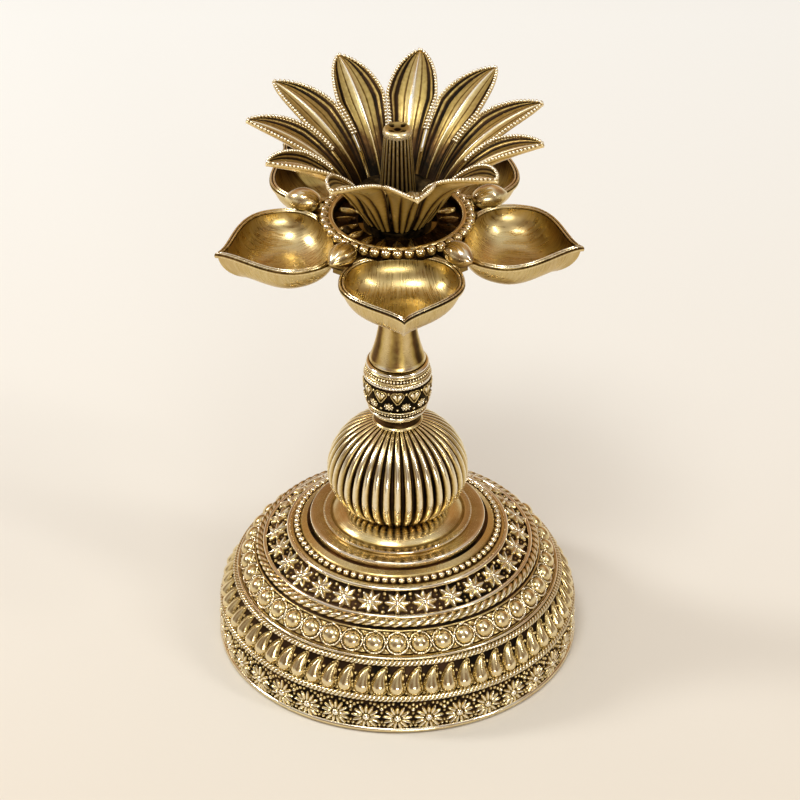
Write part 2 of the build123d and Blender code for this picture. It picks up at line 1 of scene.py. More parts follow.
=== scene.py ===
# %% [markdown]
# # An aarti lamp in old brass
# The lamp is turned, cast and carved brass: black patina lies in its hollows, and hands have rubbed its
# high places bright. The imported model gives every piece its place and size. This lesson dresses it: each
# surface is a function of two parameters, worked out with numpy on a grid, so that ropes, pearls, flowers
# and petals are real relief and not paint.

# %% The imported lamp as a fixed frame
import math

import bpy
import numpy as np
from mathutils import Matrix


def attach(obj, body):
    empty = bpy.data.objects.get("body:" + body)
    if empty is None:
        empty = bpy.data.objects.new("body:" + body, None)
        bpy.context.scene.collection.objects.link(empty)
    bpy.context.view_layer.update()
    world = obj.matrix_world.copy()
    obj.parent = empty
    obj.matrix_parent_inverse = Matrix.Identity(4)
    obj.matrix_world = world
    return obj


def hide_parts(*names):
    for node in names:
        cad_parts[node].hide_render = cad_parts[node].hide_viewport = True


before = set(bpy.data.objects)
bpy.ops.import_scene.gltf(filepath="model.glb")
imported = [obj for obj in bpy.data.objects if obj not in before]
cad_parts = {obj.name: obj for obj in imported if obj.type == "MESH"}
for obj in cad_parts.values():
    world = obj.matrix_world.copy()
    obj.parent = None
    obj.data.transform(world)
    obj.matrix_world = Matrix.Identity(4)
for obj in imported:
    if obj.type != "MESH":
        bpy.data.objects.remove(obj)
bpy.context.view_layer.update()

MM = 0.001
TURN = 2 * np.pi
chance = np.random.default_rng(7)

# %% [markdown]
# ## Sheets, welds and pieces
# A lathe, a carved band and a petal all come down to the same thing: a grid of points with a face between
# each four neighbours. So one helper weaves a grid into faces, one welds corners that share a place,
# which closes seams and poles, and one puts the arrays into a mesh with foreach_set. Every corner also
# carries a number, its relief: 0 in a hollow where patina stays, 1 on an edge that is rubbed bright. On
# pearls, rings, buds, the stem, the bowls and the petals it also carries painted shade, highlights and
# reflections. The finishes read it.


# %% Weaving a grid into a sheet
def weave(points, relief, ring=False):
    """A corner for each point of a grid of rows and columns, and a face for each square of neighbours.
    In a ring the last column joins the first. Faces look to the right of the rows' run."""
    rows, columns = points.shape[:2]
    corner = np.arange(rows * columns).reshape(rows, columns)
    if ring:
        corner = np.concatenate([corner, corner[:, :1]], axis=1)
    squares = [corner[:-1, :-1], corner[:-1, 1:], corner[1:, 1:], corner[1:, :-1]]
    shade = np.broadcast_to(relief, (rows, columns)).reshape(-1)
    return points.reshape(-1, 3), np.stack(squares, axis=-1).reshape(-1, 4), shade


def weld(points, faces, relief, grain=0.001):
    """Corners in the same grain of space become one, and a face keeps only its different corners."""
    cells = np.round(points / grain).astype(np.int64) + 2**19
    key = (cells[:, 0] * 2**20 + cells[:, 1]) * 2**20 + cells[:, 2]
    _, first, joined = np.unique(key, return_index=True, return_inverse=True)
    faces = joined.reshape(-1)[faces]
    kept = faces != np.roll(faces, -1, axis=1)
    whole = kept.sum(axis=1) > 2
    return points[first], faces[whole], kept[whole], relief[first]


# %% From sheets to a mesh
def mesh_of(name, sheets, sharp):
    """All sheets, in millimetres, as one welded mesh in metres; edges that fold by more than the
    sharp angle stay crisp."""
    starts = np.cumsum([0] + [len(sheet[0]) for sheet in sheets])
    points = np.concatenate([sheet[0] for sheet in sheets])
    faces = np.concatenate([sheet[1] + start for sheet, start in zip(sheets, starts)])
    relief = np.concatenate([sheet[2] for sheet in sheets])
    points, faces, kept, relief = weld(points, faces, relief)
    sides = kept.sum(axis=1)
    mesh = bpy.data.meshes.new(name)
    mesh.vertices.add(len(points))
    mesh.vertices.foreach_set("co", (points * MM).astype(np.float32).ravel())
    mesh.loops.add(int(sides.sum()))
    mesh.loops.foreach_set("vertex_index", faces[kept].astype(np.int32))
    mesh.polygons.add(len(faces))
    mesh.polygons.foreach_set("loop_start", (np.cumsum(sides) - sides).astype(np.int32))
    mesh.polygons.foreach_set("loop_total", sides.astype(np.int32))
    mesh.polygons.foreach_set("use_smooth", np.ones(len(faces), bool))
    mesh.update(calc_edges=True)
    mesh.validate()
    painted = mesh.attributes.new("relief", "FLOAT", "POINT")
    painted.data.foreach_set("value", np.clip(relief, 0, 1).astype(np.float32))
    mesh.set_sharp_from_angle(angle=math.radians(sharp))
    return mesh


def piece(name, sheets, body, slot, finish, *nodes, sharp=50):
    """A finished piece: its mesh and finish, the body it moves with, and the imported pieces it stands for."""
    made = bpy.data.objects.new(name, mesh_of(name, sheets, sharp))
    bpy.context.scene.collection.objects.link(made)
    made.data.materials.append(finish)
    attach(made, body)
    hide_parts(*nodes)
    print(name, len(made.data.polygons), "faces")


# %% Turned outlines, pearls and turns about the axis
def run(start, end, bulge=0.0, steps=6, relief=(0.6, 0.6)):
    """Stretch of an outline between two places (radius, height): the chord, bowed out by
    bulge * 4 t (1 - t), with the relief changing evenly. Columns: radius, height, relief."""
    t = np.linspace(0, 1, steps + 1)[:, None]
    start, end = np.array(start, float), np.array(end, float)
    chord = end - start
    out = np.array([chord[1], -chord[0]]) / np.hypot(*chord)
    places = start + chord * t + out * bulge * 4 * t * (1 - t)
    return np.hstack([places, relief[0] + (relief[1] - relief[0]) * t])


def lathe(outline, columns):
    """Outline turned about Z: (radius cos a, radius sin a, height) at even angles a."""
    a = np.arange(columns) * TURN / columns
    r, z, relief = (outline[:, i, None] for i in range(3))
    points = np.stack([r * np.cos(a), r * np.sin(a), z + 0 * a], axis=-1)
    return weave(points, relief, ring=True)


def pearls(centres, radius, rings=6, spokes=10, relief=(0.3, 1.0)):
    """Balls, all at once: centre + radius (cos b cos a, cos b sin a, sin b); darker underneath, as painted
    shade.
    """
    b = np.linspace(-np.pi / 2, np.pi / 2, rings + 1)[:, None]
    a = np.arange(spokes) * TURN / spokes
    unit = np.stack([np.cos(b) * np.cos(a), np.cos(b) * np.sin(a), np.sin(b) + 0 * a], axis=-1)
    shade = relief[0] + (relief[1] - relief[0]) * (unit[..., 2] + 1) / 2
    corners, faces, shade = weave(unit, shade, ring=True)
    sizes = np.broadcast_to(radius, len(centres))
    points = centres[:, None] + corners * sizes[:, None, None]
    shift = len(corners) * np.arange(len(centres))
    return points.reshape(-1, 3), (faces + shift[:, None, None]).reshape(-1, 4), np.tile(shade, len(centres))


def spun(sheet, degrees):
    """A sheet turned about the lamp's axis."""
    c, s = np.cos(np.radians(degrees)), np.sin(np.radians(degrees))
    points = sheet[0] @ np.array([[c, s, 0], [-s, c, 0], [0, 0, 1]])
    return points, sheet[1], sheet[2]


def circle(count, row_r, level, first=0.0):
    """Places evenly round the axis, at one radius and height."""
    a = np.radians(first) + np.arange(count) * TURN / count
    return np.stack([row_r * np.cos(a), row_r * np.sin(a), level + 0 * a], axis=-1)


print("a ball of", len(pearls(circle(1, 0, 0), 1.0)[1]), "faces is the pearl of every row")

# %% [markdown]
# ## Finishes
# Old brass isn't one colour. Lacquer and soot stay black in the hollows, the flats turn brown-gold, and
# the edges that a cloth reaches are pale and glossy. So each finish reads the relief that the mesh
# carries, frays it with a cloudy noise, and looks up both colour and gloss by it. Fine marks differ by
# how a piece was made: a lathe leaves circles, a brush leaves streaks, casting leaves pits.


# %% Small tools for shader trees
def plug(tree, value, socket):
    """A number or colour is set on the socket, and another node's output is linked to it."""
    if isinstance(value, bpy.types.NodeSocket):
        tree.links.new(value, socket)
    else:
        socket.default_value = value


def node(tree, kind, settings=None, **inputs):
    """One shader node with its settings and inputs."""
    made = tree.nodes.new("ShaderNode" + kind)
    for name, value in (settings or {}).items():
        setattr(made, name, value)
    for name, value in inputs.items():
        plug(tree, value, made.inputs[name])
    return made


def work(tree, operation, *values):
    """One sum on numbers or on other nodes' outputs."""
    made = node(tree, "Math", {"operation": operation})
    for value, socket in zip(values, made.inputs):
        plug(tree, value, socket)
    return made.outputs[0]


def ramp(tree, factor, *stops):
    """Colour looked up by a factor between stops of (place, colour)."""
    made = node(tree, "ValToRGB", Fac=factor)
    elements = made.color_ramp.elements
    elements[0].position, elements[0].color = stops[0]
    elements[1].position, elements[1].color = stops[-1]
    for place, colour in stops[1:-1]:
        elements.new(place).color = colour
    return made.outputs["Color"]


def between(tree, value, low, high, out_low, out_high):
    """A value moved from one range to another and held at its ends."""
    made = node(tree, "MapRange", Value=value)
    ends = {"From Min": low, "From Max": high, "To Min": out_low, "To Max": out_high}
    for name, number in ends.items():
        made.inputs[name].default_value = number
    return made.outputs["Result"]


def cloud(tree, places, size_mm, detail=4.0):
    """Cloudy noise whose lumps are about one size across."""
    made = node(tree, "TexNoise", Vector=places, Scale=1 / (size_mm * MM), Detail=detail)
    return made.outputs["Fac"]


def tint(tree, factor, first, second, blend="MIX"):
    """Two colours mixed, or multiplied, by a factor."""
    made = node(tree, "Mix", {"data_type": "RGBA", "blend_type": blend})
    plug(tree, factor, made.inputs[0])
    plug(tree, first, made.inputs[6])
    plug(tree, second, made.inputs[7])
    return made.outputs[2]


# %% Old brass, read from the relief
BLACK_PATINA = (0.009, 0.007, 0.005, 1)
BROWN_PATINA = (0.085, 0.043, 0.012, 1)
OLD_GOLD = (0.50, 0.365, 0.115, 1)
RUBBED_GOLD = (0.83, 0.70, 0.40, 1)
PALE_GOLD = (0.97, 0.93, 0.80, 1)
COPPER_TARNISH = (0.40, 0.19, 0.08, 1)
EDGE_GOLD = (0.97, 0.87, 0.66, 1)
PATINA = (BLACK_PATINA, BROWN_PATINA, OLD_GOLD, RUBBED_GOLD, PALE_GOLD)


def old_brass(name, wear, gloss, fray, lump_mm, tarnish, brush=None):
    """Brass whose colour and roughness are looked up by relief + fray * (cloud - 1/2), where a brush can draw
    the cloud out into streaks. The five tones of the patina lie at the given wear, wide clouds of copper
    tarnish lie over them, and clear lacquer is left on the worn parts. Gives what the fine marks need."""
    finish = bpy.data.materials.new(name)
    finish.use_nodes = True
    tree = finish.node_tree
    shader = tree.nodes["Principled BSDF"]
    shader.inputs["Metallic"].default_value = 1.0
    shader.inputs["Specular Tint"].default_value = EDGE_GOLD
    shader.inputs["Coat Roughness"].default_value = 0.10
    places = node(tree, "TexCoord").outputs["Object"]
    painted = node(tree, "Attribute", {"attribute_name": "relief"}).outputs["Fac"]
    grain = lathe_places(tree, places, *brush) if brush else places
    frayed = work(tree, "MULTIPLY_ADD", cloud(tree, grain, lump_mm), fray, -fray / 2)
    worn = work(tree, "ADD", painted, frayed)
    plug(tree, between(tree, worn, 0.35, 0.85, 0.0, 1.0), shader.inputs["Coat Weight"])
    stain = between(tree, cloud(tree, places, 13.0, 3.0), 0.42, 0.72, 0.0, tarnish)
    tones = ramp(tree, worn, *zip(wear, PATINA))
    plug(tree, tint(tree, stain, tones, COPPER_TARNISH), shader.inputs["Base Color"])
    smear = between(tree, cloud(tree, places, 2.6), 0.3, 0.7, -0.05, 0.05)
    rough = work(tree, "ADD", between(tree, worn, 0.0, 1.0, *gloss), smear)
    return finish, tree, shader, places, rough


def roughen(tree, shader, rough, height, strength, depth_mm):
    """Roughness and a bump of a given depth go onto the shader."""
    plug(tree, rough, shader.inputs["Roughness"])
    bump = node(tree, "Bump", Strength=strength, Distance=depth_mm * MM, Height=height)
    plug(tree, bump.outputs["Normal"], shader.inputs["Normal"])


def lathe_places(tree, places, across, along):
    """Places as (distance from the axis, angle, height), for marks that follow a turned or brushed piece."""
    part = node(tree, "SeparateXYZ", Vector=places)
    flat = node(tree, "CombineXYZ", X=part.outputs["X"], Y=part.outputs["Y"])
    r = node(tree, "VectorMath", {"operation": "LENGTH"})
    plug(tree, flat.outputs["Vector"], r.inputs[0])
    a = work(tree, "ARCTAN2", part.outputs["Y"], part.outputs["X"])
    made = node(
        tree, "CombineXYZ",
        X=work(tree, "MULTIPLY", r.outputs["Value"], across),
        Y=work(tree, "MULTIPLY", a, along),
        Z=work(tree, "MULTIPLY", part.outputs["Z"], across),
    )
    return made.outputs["Vector"]


print("old brass goes from", BLACK_PATINA[:3], "in the hollows to", PALE_GOLD[:3], "on the edges")


# %% The finishes of the lamp
def carved_brass():
    """Cast and chased: sooty ground, gold mounds, pale crests, with a fine sandy grain."""
    finish, tree, shader, places, rough = old_brass(
        "carved_brass", (0.08, 0.26, 0.50, 0.78, 1.0),
        gloss=(0.54, 0.06), fray=0.26, lump_mm=0.8, tarnish=0.14,
    )
    roughen(tree, shader, rough, cloud(tree, places, 0.35), 0.25, 0.06)
    return finish


def ribbed_brass():
    """Polished ribs: grooves stay black, and polishing runs up and down the ribs."""
    finish, tree, shader, places, rough = old_brass(
        "ribbed_brass", (0.10, 0.30, 0.52, 0.80, 1.0),
        gloss=(0.52, 0.15), fray=0.22, lump_mm=1.2, tarnish=0.10,
    )
    streaks = cloud(tree, lathe_places(tree, places, 0.2, 0.03), 0.12, 2.0)
    roughen(tree, shader, rough, streaks, 0.10, 0.02)
    return finish


def turned_brass():
    """Turned on a lathe: fine circles that the tool left, softened by handling."""
    finish, tree, shader, places, rough = old_brass(
        "turned_brass", (0.05, 0.22, 0.45, 0.80, 1.0),
        gloss=(0.46, 0.11), fray=0.26, lump_mm=3.0, tarnish=0.36,
    )
    circles = cloud(tree, lathe_places(tree, places, 1.0, 0.0005), 0.22, 3.0)
    rough = work(tree, "ADD", rough, between(tree, circles, 0.3, 0.7, -0.06, 0.08))
    roughen(tree, shader, rough, circles, 0.22, 0.03)
    return finish


# How far a streak reaches across and along, as shares for lathe_places.
BRUSH = (0.016, 0.008)


def bowl_brass():
    """Satin bowls: brushed streaks along each bowl, and scattered casting pits."""
    finish, tree, shader, places, rough = old_brass(
        "bowl_brass", (0.05, 0.22, 0.46, 0.80, 1.0),
        gloss=(0.50, 0.14), fray=0.34, lump_mm=0.10, tarnish=0.16, brush=BRUSH,
    )
    streaks = cloud(tree, lathe_places(tree, places, *BRUSH), 0.10, 5.0)
    holes = node(tree, "TexVoronoi", Vector=places, Scale=1 / (2.1 * MM)).outputs["Distance"]
    pits = between(tree, holes, 0.05, 0.15, 0.0, 1.0)
    height = work(tree, "ADD", work(tree, "MULTIPLY", streaks, 0.8), pits)
    rough = work(tree, "ADD", rough, between(tree, streaks, 0.3, 0.7, -0.12, 0.14))
    roughen(tree, shader, rough, height, 0.4, 0.10)
    return finish


PAINTED_UNDER_GOLD = (1.0, 0.84, 0.48, 1)


def lotus_brass():
    """Cast petals: dark channels, golden flats and bright ribs, with streaks that run up each petal. Faces
    that look down are less metallic, and a deeper gold is multiplied into them as a painted reflection."""
    finish, tree, shader, places, rough = old_brass(
        "lotus_brass", (0.06, 0.26, 0.50, 0.80, 1.0),
        gloss=(0.52, 0.24), fray=0.26, lump_mm=1.5, tarnish=0.08,
    )
    facing = node(tree, "SeparateXYZ", Vector=node(tree, "NewGeometry").outputs["Normal"]).outputs["Z"]
    plug(tree, between(tree, facing, -0.3, 0.1, 0.45, 0.92), shader.inputs["Metallic"])
    polished = shader.inputs["Base Color"].links[0].from_socket
    # Painted reflection: faces that look down have their colour multiplied by a deeper gold.
    under = between(tree, facing, -0.3, 0.1, 1.0, 0.0)
    plug(tree, tint(tree, under, polished, PAINTED_UNDER_GOLD, "MULTIPLY"), shader.inputs["Base Color"])
    streaks = cloud(tree, lathe_places(tree, places, 0.03, 0.012), 0.20, 3.0)
    roughen(tree, shader, rough, streaks, 0.20, 0.06)
    return finish


def plain_metal(name, dark, light, rough_low, rough_high):
    """Metal of the hidden pieces: two tones clouded together, with the circles that turning left."""
    finish = bpy.data.materials.new(name)
    finish.use_nodes = True
    tree = finish.node_tree
    shader = tree.nodes["Principled BSDF"]
    shader.inputs["Metallic"].default_value = 1.0
    places = node(tree, "TexCoord").outputs["Object"]
    worn = cloud(tree, places, 2.5)
    share = between(tree, worn, 0.35, 0.65, 0.0, 1.0)
    plug(tree, tint(tree, share, dark, light), shader.inputs["Base Color"])
    circles = cloud(tree, lathe_places(tree, places, 1.0, 0.0005), 0.3, 3.0)
    roughen(tree, shader, between(tree, circles, 0.3, 0.7, rough_low, rough_high), circles, 0.25, 0.04)
    return finish


carved = carved_brass()
ribbed = ribbed_brass()
turned = turned_brass()
satin = bowl_brass()
lotus = lotus_brass()
# The hub, the rivets and the lotus's foot and cup are near-black brass.
near_black_brass = plain_metal("near_black_brass", (0.010, 0.008, 0.006, 1), (0.13, 0.085, 0.035, 1), 0.40, 0.62)
rod_steel = plain_metal("rod_steel", (0.16, 0.15, 0.14, 1), (0.48, 0.46, 0.43, 1), 0.30, 0.48)
print("finishes:", [made.name for made in (carved, ribbed, turned, satin, lotus, near_black_brass, rod_steel)])

# %% [markdown]
# ## The carved base
# The base is one casting whose bands were chased: a hem of daisies and berries, a row of mangoes, a row
# of bosses in milled rings, a row of eight-petalled flowers and a row of pearls, parted by ropes. It
# could be sculpted, or stamped from a picture as displacement. Here each band is a height over the dome's
# own line: one repeat of the motif is worked out as arrays and tiled round, so every mound is true
# geometry and the relief that drives the patina comes from the same heights.

# %% The dome's outer line
DOME_CORNERS = ((67.4, 0.0), (67.0, 15.4), (52.4, 39.4), (34.4, 50.5))
DOME_BULGES = (0.6, 2.0, 0.6)
DOME_WALL = 3.0
CROWN_R, CROWN_Z = DOME_CORNERS[-1]
ROD_HOLE_R = 3.3
dome_arcs = [run(a, b, bulge, 90) for a, b, bulge in zip(DOME_CORNERS, DOME_CORNERS[1:], DOME_BULGES)]
dome_line = np.concatenate([arc[:-1, :2] for arc in dome_arcs[:-1]] + [dome_arcs[-1][:, :2]])
dome_s = np.concatenate([[0], np.cumsum(np.hypot(*np.diff(dome_line, axis=0).T))])
dome_lean = np.gradient(dome_line, dome_s, axis=0)
dome_lean /= np.hypot(*dome_lean.T)[:, None]


def up_the_dome(height):
    """Distance up the dome's line at which it reaches a height."""
    return float(np.interp(height, dome_line[:, 1], dome_s))


def in_to_radius(radius):
    """Distance up the dome's line at which it has come in to a radius, above the hem."""
    above = dome_s > up_the_dome(DOME_CORNERS[1][1])
    return float(np.interp(-radius, -dome_line[above, 0], dome_s[above]))


def on_dome(s):
    """Radius and height of the dome's line at a distance along it, and the direction square to it."""
    r, z = (np.interp(s, dome_s, dome_line[:, i]) for i in (0, 1))
    out_r, out_z = np.interp(s, dome_s, dome_lean[:, 1]), -np.interp(s, dome_s, dome_lean[:, 0])
    return r, z, out_r, out_z


FOOT_BEAD_S, RIDGE_UP, SMOOTH_R = 1.2, 2.4, 41.3
MANGO_AT, MID_ROPE_AT, BOSS_AT, PEARL_AT = 0.145, 0.475, 0.735, 0.8
low_rope_s = up_the_dome(DOME_CORNERS[1][1])
top_rope_s = up_the_dome(DOME_CORNERS[2][1])
mid_rope_s = low_rope_s + MID_ROPE_AT * (top_rope_s - low_rope_s)
boss_s = low_rope_s + BOSS_AT * (top_rope_s - low_rope_s)
mango_s = low_rope_s + MANGO_AT * (top_rope_s - low_rope_s)
ridge_s = top_rope_s + RIDGE_UP
smooth_s = in_to_radius(SMOOTH_R)
pearl_s = top_rope_s + PEARL_AT * (dome_s[-1] - top_rope_s)
print("dome line is", round(float(dome_s[-1]), 1), "mm from the table to the plinth")


# %% Mounds, strokes and drops that motifs are made of
def mound(gap, reach):
    """Half-round rise over a distance: sqrt(1 - (gap / reach)^2) inside the reach, 0 outside."""
    return np.sqrt(np.clip(1 - (gap / reach) ** 2, 0, None))


def around_repeat(x, centre, pitch):
    """Distance across the band to a centre, the short way round the repeat."""
    return (x - centre + pitch / 2) % pitch - pitch / 2


def drop(x, y, spine, widths):
    """Swollen drop: the highest of many balls strung on a spine, sqrt(w^2 - d^2), and the distance
    outside them, d - w."""
    d = np.hypot(x[..., None] - spine[:, 0], y[..., None] - spine[:, 1])
    return np.sqrt(np.clip(widths**2 - d**2, 0, None)).max(axis=-1), (d - widths).min(axis=-1)


def rays(x, y, count, start, end, width, pointed):
    """Petals round a centre: the place is folded into one petal's sector, and the petal is as wide as
    width * (1 - |2 t - 1|^pointed), for t from its start to its end."""
    gap = np.hypot(x, y)
    a = np.arctan2(x, y) * count / TURN
    a = (a - np.round(a)) * TURN / count
    t = np.clip((gap * np.cos(a) - start) / (end - start), 0, 1)
    half = width * (1 - np.abs(2 * t - 1) ** pointed)
    return np.clip(1 - np.abs(gap * np.sin(a)) / np.maximum(half, 1e-6), 0, 1) * (half > 0.02)


GROUND, FLOWER_GROUND, BAND_DEEP = 0.6, 0.75, 1.8


def carved_band(from_s, to_s, rows, count, steps, motif, sunk):
    """Band of the dome: its line moved in by the sunk ground and out by the motif's height, turned about the
    axis and closed by a back inside the casting. The motif is a function of the place across one repeat and
    up the line; repeats differ a little."""
    s = np.linspace(from_s, to_s, rows)
    r, z, out_r, out_z = on_dome(s)
    pitch = TURN * r.mean() / count
    x, y = np.meshgrid((np.arange(steps) / steps - 0.5) * pitch, s)
    height, relief = motif(x, y, pitch)
    uneven = 1 + chance.uniform(-0.09, 0.09, count)
    height = (height[:, None] * uneven[:, None]).reshape(rows, -1) - sunk
    a = (np.arange(count * steps) / steps - 0.5) * TURN / count - np.pi / 2
    far = r[:, None] + height * out_r[:, None]
    points = np.stack([far * np.cos(a), far * np.sin(a), z[:, None] + height * out_z[:, None]], axis=-1)
    deep_r, deep_z = ((line - BAND_DEEP * out)[[-1, 0], None] for line, out in ((r, out_r), (z, out_z)))
    back = np.stack([deep_r * np.cos(a), deep_r * np.sin(a), deep_z + 0 * a], axis=-1)
    shade = np.tile(relief, count)
    closed = np.concatenate([points, back, points[:1]])
    return weave(closed, np.concatenate([shade, 0 * back[..., 0], shade[:1]]), ring=True)


def rope(row_r, level, radius, strands, lean, steps=6, turns=14):
    """Twisted rope: a ring whose tube swells once for each strand, radius (1 - deep + deep * mound), where
    the mound's phase runs once per strand round the ring and lean times round the tube."""
    deep = 0.5
    a = np.arange(strands * steps) * TURN / (strands * steps)
    b = np.linspace(0, TURN, turns + 1)[:, None]
    phase = (a * strands + b * lean) / TURN
    swell = mound(2 * np.abs(phase - np.round(phase)), 1.02)
    tube = radius * (1 - deep + deep * swell)
    r = row_r + tube * np.cos(b)
    points = np.stack([r * np.cos(a), r * np.sin(a), level + tube * np.sin(b)], axis=-1)
    return weave(points, 0.04 + 0.96 * swell**2, ring=True)


def plain_ring(s, radius, steps=12):
    """Smooth half-round ring on the dome's line, as a turned circle, with painted shade: lighter on top,
    darker below.
    """
    r, z = on_dome(s)[:2]
    b = np.linspace(0, TURN, steps + 1)
    outline = np.stack([r + radius * np.cos(b), z + radius * np.sin(b), 0.75 + 0.25 * np.sin(b)], axis=-1)
    return lathe(outline, 360)


centre = np.zeros((1, 1))
rise, _ = drop(centre, centre, np.zeros((1, 2)), np.ones(1))
print("a drop strung on one ball of 1 mm rises", rise.max(), "mm")


# %% [markdown]
# ### Hem of daisies and berries
# Lowest on the dome runs a hem of daisies: a domed eye, a ring of narrow petals, and between two daisies
# a leafy sprig with berries. On the real lamp the ground behind them is black. The petals are rays folded
# into one sector, and the berries are plain mounds, which are cheap and can be moved one by one until the
# row is full.


# %% Hem
DAISIES, DAISY_UP, DAISY_EYE_R, DAISY_PETALS = 36, 6.6, 1.5, 13
# Place across, place up the line, and radius of each berry beside the line between two daisies.
BERRIES = ((0, 10.6, 0.85), (1.3, 11.7, 0.7), (2.7, 12.6, 0.65), (0, 12.6, 0.7), (0, 8.9, 0.6),
           (0, 4.6, 0.6), (0.9, 3.3, 0.7), (2.3, 2.8, 0.6), (4.3, 12.9, 0.6), (3.7, 2.7, 0.5))


def hem_motif(x, y, pitch):
    """Daisy at the middle of the repeat and a berry sprig at its sides; heights in millimetres."""
    up_daisy = y - DAISY_UP
    eye = DAISY_EYE_R * mound(np.hypot(x, up_daisy), DAISY_EYE_R)
    petals = 1.1 * np.sqrt(rays(x, up_daisy, DAISY_PETALS, 1.6, 5.5, 0.78, 3.0))
    side = around_repeat(x, pitch / 2, pitch)
    sprig = np.zeros_like(x)
    for across, up, size in BERRIES:
        gap = np.hypot(np.abs(side) - across, y - up)
        sprig = np.maximum(sprig, 1.3 * size * mound(gap, size))
    height = np.maximum.reduce([eye, petals, sprig])
    return height, np.clip(0.02 + height / 1.1, 0, 1)


hem_sheet = carved_band(
    FOOT_BEAD_S, low_rope_s, rows=46, count=DAISIES, steps=38, motif=hem_motif, sunk=GROUND,
)
piece("hem_of_daisies", [hem_sheet], "base", "carved_brass", carved, "base_dome", sharp=75)


# %% [markdown]
# ### Mangoes
# Above the hem stands a row of mangoes, the swelling drops with a curled tip that many brass lamps carry.
# Each is a string of balls that shrink along a bent spine, with a thin raised outline round it.


# %% Row of mangoes
MANGOES = 63


def mango_motif(x, y, pitch):
    """A drop on a spine that bends to the right at its tip, a fine outline, and a ball beside the tip."""
    up = y - mango_s
    t = np.linspace(0, 1, 20)
    spine = np.stack([-0.35 + 2.3 * t**2.2, -0.15 + 7.7 * t - 0.5 * t**5], axis=-1)
    widths = 2.5 * (1 - t) ** 0.85 + 0.32
    body, outside = drop(x, up, spine, widths)
    outline = 0.62 * mound(np.abs(outside - 0.36), 0.24)
    ball = 0.85 * mound(np.hypot(around_repeat(x, pitch / 2 + 0.2, pitch), up - 4.6), 0.6)
    low = 0.7 * mound(np.hypot(around_repeat(x, pitch / 2, pitch), up + 2.2), 0.55)
    height = np.maximum.reduce([0.86 * body, outline, ball, low])
    return height, np.clip(0.02 + np.minimum(height / 0.9, 0.57 + 0.09 * height), 0, 1)


mango_sheet = carved_band(
    low_rope_s, mid_rope_s, rows=44, count=MANGOES, steps=22, motif=mango_motif, sunk=GROUND,
)
piece("row_of_mangoes", [mango_sheet], "base", "carved_brass", carved, "base_dome", sharp=75)


# %% [markdown]
# ### Bosses in milled rings
# The next row is of half-round bosses, each in a ring that is notched all round as a coin's edge is, with
# small studs in the corners between rings.


# %% Row of bosses
BOSSES, BOSS_R, BOSS_RISE, MILLED_R, NOTCHES = 42, 3.35, 2.35, 3.98, 30


def boss_motif(x, y, pitch):
    """Boss, notched ring and corner studs; the ring's height beats with the angle round the boss."""
    up = y - boss_s
    gap = np.hypot(x, up)
    beat = 0.7 + 0.3 * np.cos(np.arctan2(x, up) * NOTCHES)
    boss = BOSS_RISE * mound(gap, BOSS_R)
    ring = 0.95 * mound(np.abs(gap - MILLED_R), 0.36) * beat
    side = around_repeat(x, pitch / 2, pitch)
    rise = (np.abs(up) - 2.0) / 1.9
    studs = 0.9 * np.clip(1 - np.abs(side) / np.maximum(2.0 * rise, 0.05), 0, 1) * (rise > 0) * (rise < 1)
    lines = 0.6 * mound(np.minimum(np.abs(up + 4.75), np.abs(up - 4.75)), 0.36)
    height = np.maximum.reduce([boss, ring, studs, lines])
    worn = np.minimum(height / 0.9, 0.54 + 0.09 * height)
    return height, np.clip(0.03 + np.maximum(worn, 0.9 * (ring > 0.2)), 0, 1)


boss_sheet = carved_band(
    mid_rope_s, top_rope_s, rows=46, count=BOSSES, steps=30, motif=boss_motif, sunk=GROUND,
)
piece("row_of_bosses", [boss_sheet], "base", "carved_brass", carved, "base_dome", sharp=75)


# %% [markdown]
# ### Eight-petalled flowers
# On the crown lies a row of flowers cut deep into a black ground. Each petal is a little roof with a
# crest, so it catches light on one side, and three studs stand between two flowers.


# %% Row of flowers
FLOWERS, FLOWER_PETALS = 28, 8


def flower_motif(x, y, pitch):
    """Eight roof-shaped petals, a domed eye, and studs between flowers."""
    up = y - (ridge_s + smooth_s) / 2
    petals = 1.4 * rays(x, up, FLOWER_PETALS, 0.4, 5.0, 1.32, 2.2) ** 0.65
    eye = 1.7 * mound(np.hypot(x, up), 1.0)
    side = around_repeat(x, pitch / 2, pitch)
    places = ((3.6, 0.85), (1.9, 0.5))
    studs = [1.2 * size * mound(np.hypot(side, np.abs(up) - far), size) for far, size in places]
    height = np.maximum.reduce([petals, eye, *studs])
    return height, np.clip(height / 1.35, 0, 1)


flower_sheet = carved_band(
    ridge_s, smooth_s, rows=38, count=FLOWERS, steps=38, motif=flower_motif, sunk=FLOWER_GROUND,
)
piece("row_of_flowers", [flower_sheet], "base", "carved_brass", carved, "base_dome", sharp=75)

# %% [markdown]
# ### Ropes, rings and pearls
# Ropes and smooth rings part the bands and hide their joins, as they hide the chaser's guide lines on the
# real casting. A rope is a ring whose tube swells with every strand. The pearls are balls on the crown's
# inner step.

# %% Ropes and rings of the dome
mid_r, mid_z = on_dome(mid_rope_s)[:2]
ropes = [
    rope(*DOME_CORNERS[1], radius=1.3, strands=250, lean=-3),
    rope(mid_r, mid_z, radius=1.2, strands=232, lean=-3),
    rope(*DOME_CORNERS[2], radius=1.6, strands=92, lean=-3, steps=10),
]
piece("dome_ropes", ropes, "base", "carved_brass", carved, "base_dome", sharp=80)
# Distance up the dome's line, and the radius, of each smooth ring.
RINGS = ((FOOT_BEAD_S, 1.0), (mid_rope_s + 1.8, 0.55), (ridge_s, 0.9), (smooth_s, 0.9))
rings = [plain_ring(s, radius) for s, radius in RINGS]
piece("dome_rings", rings, "base", "carved_brass", turned, "base_dome")

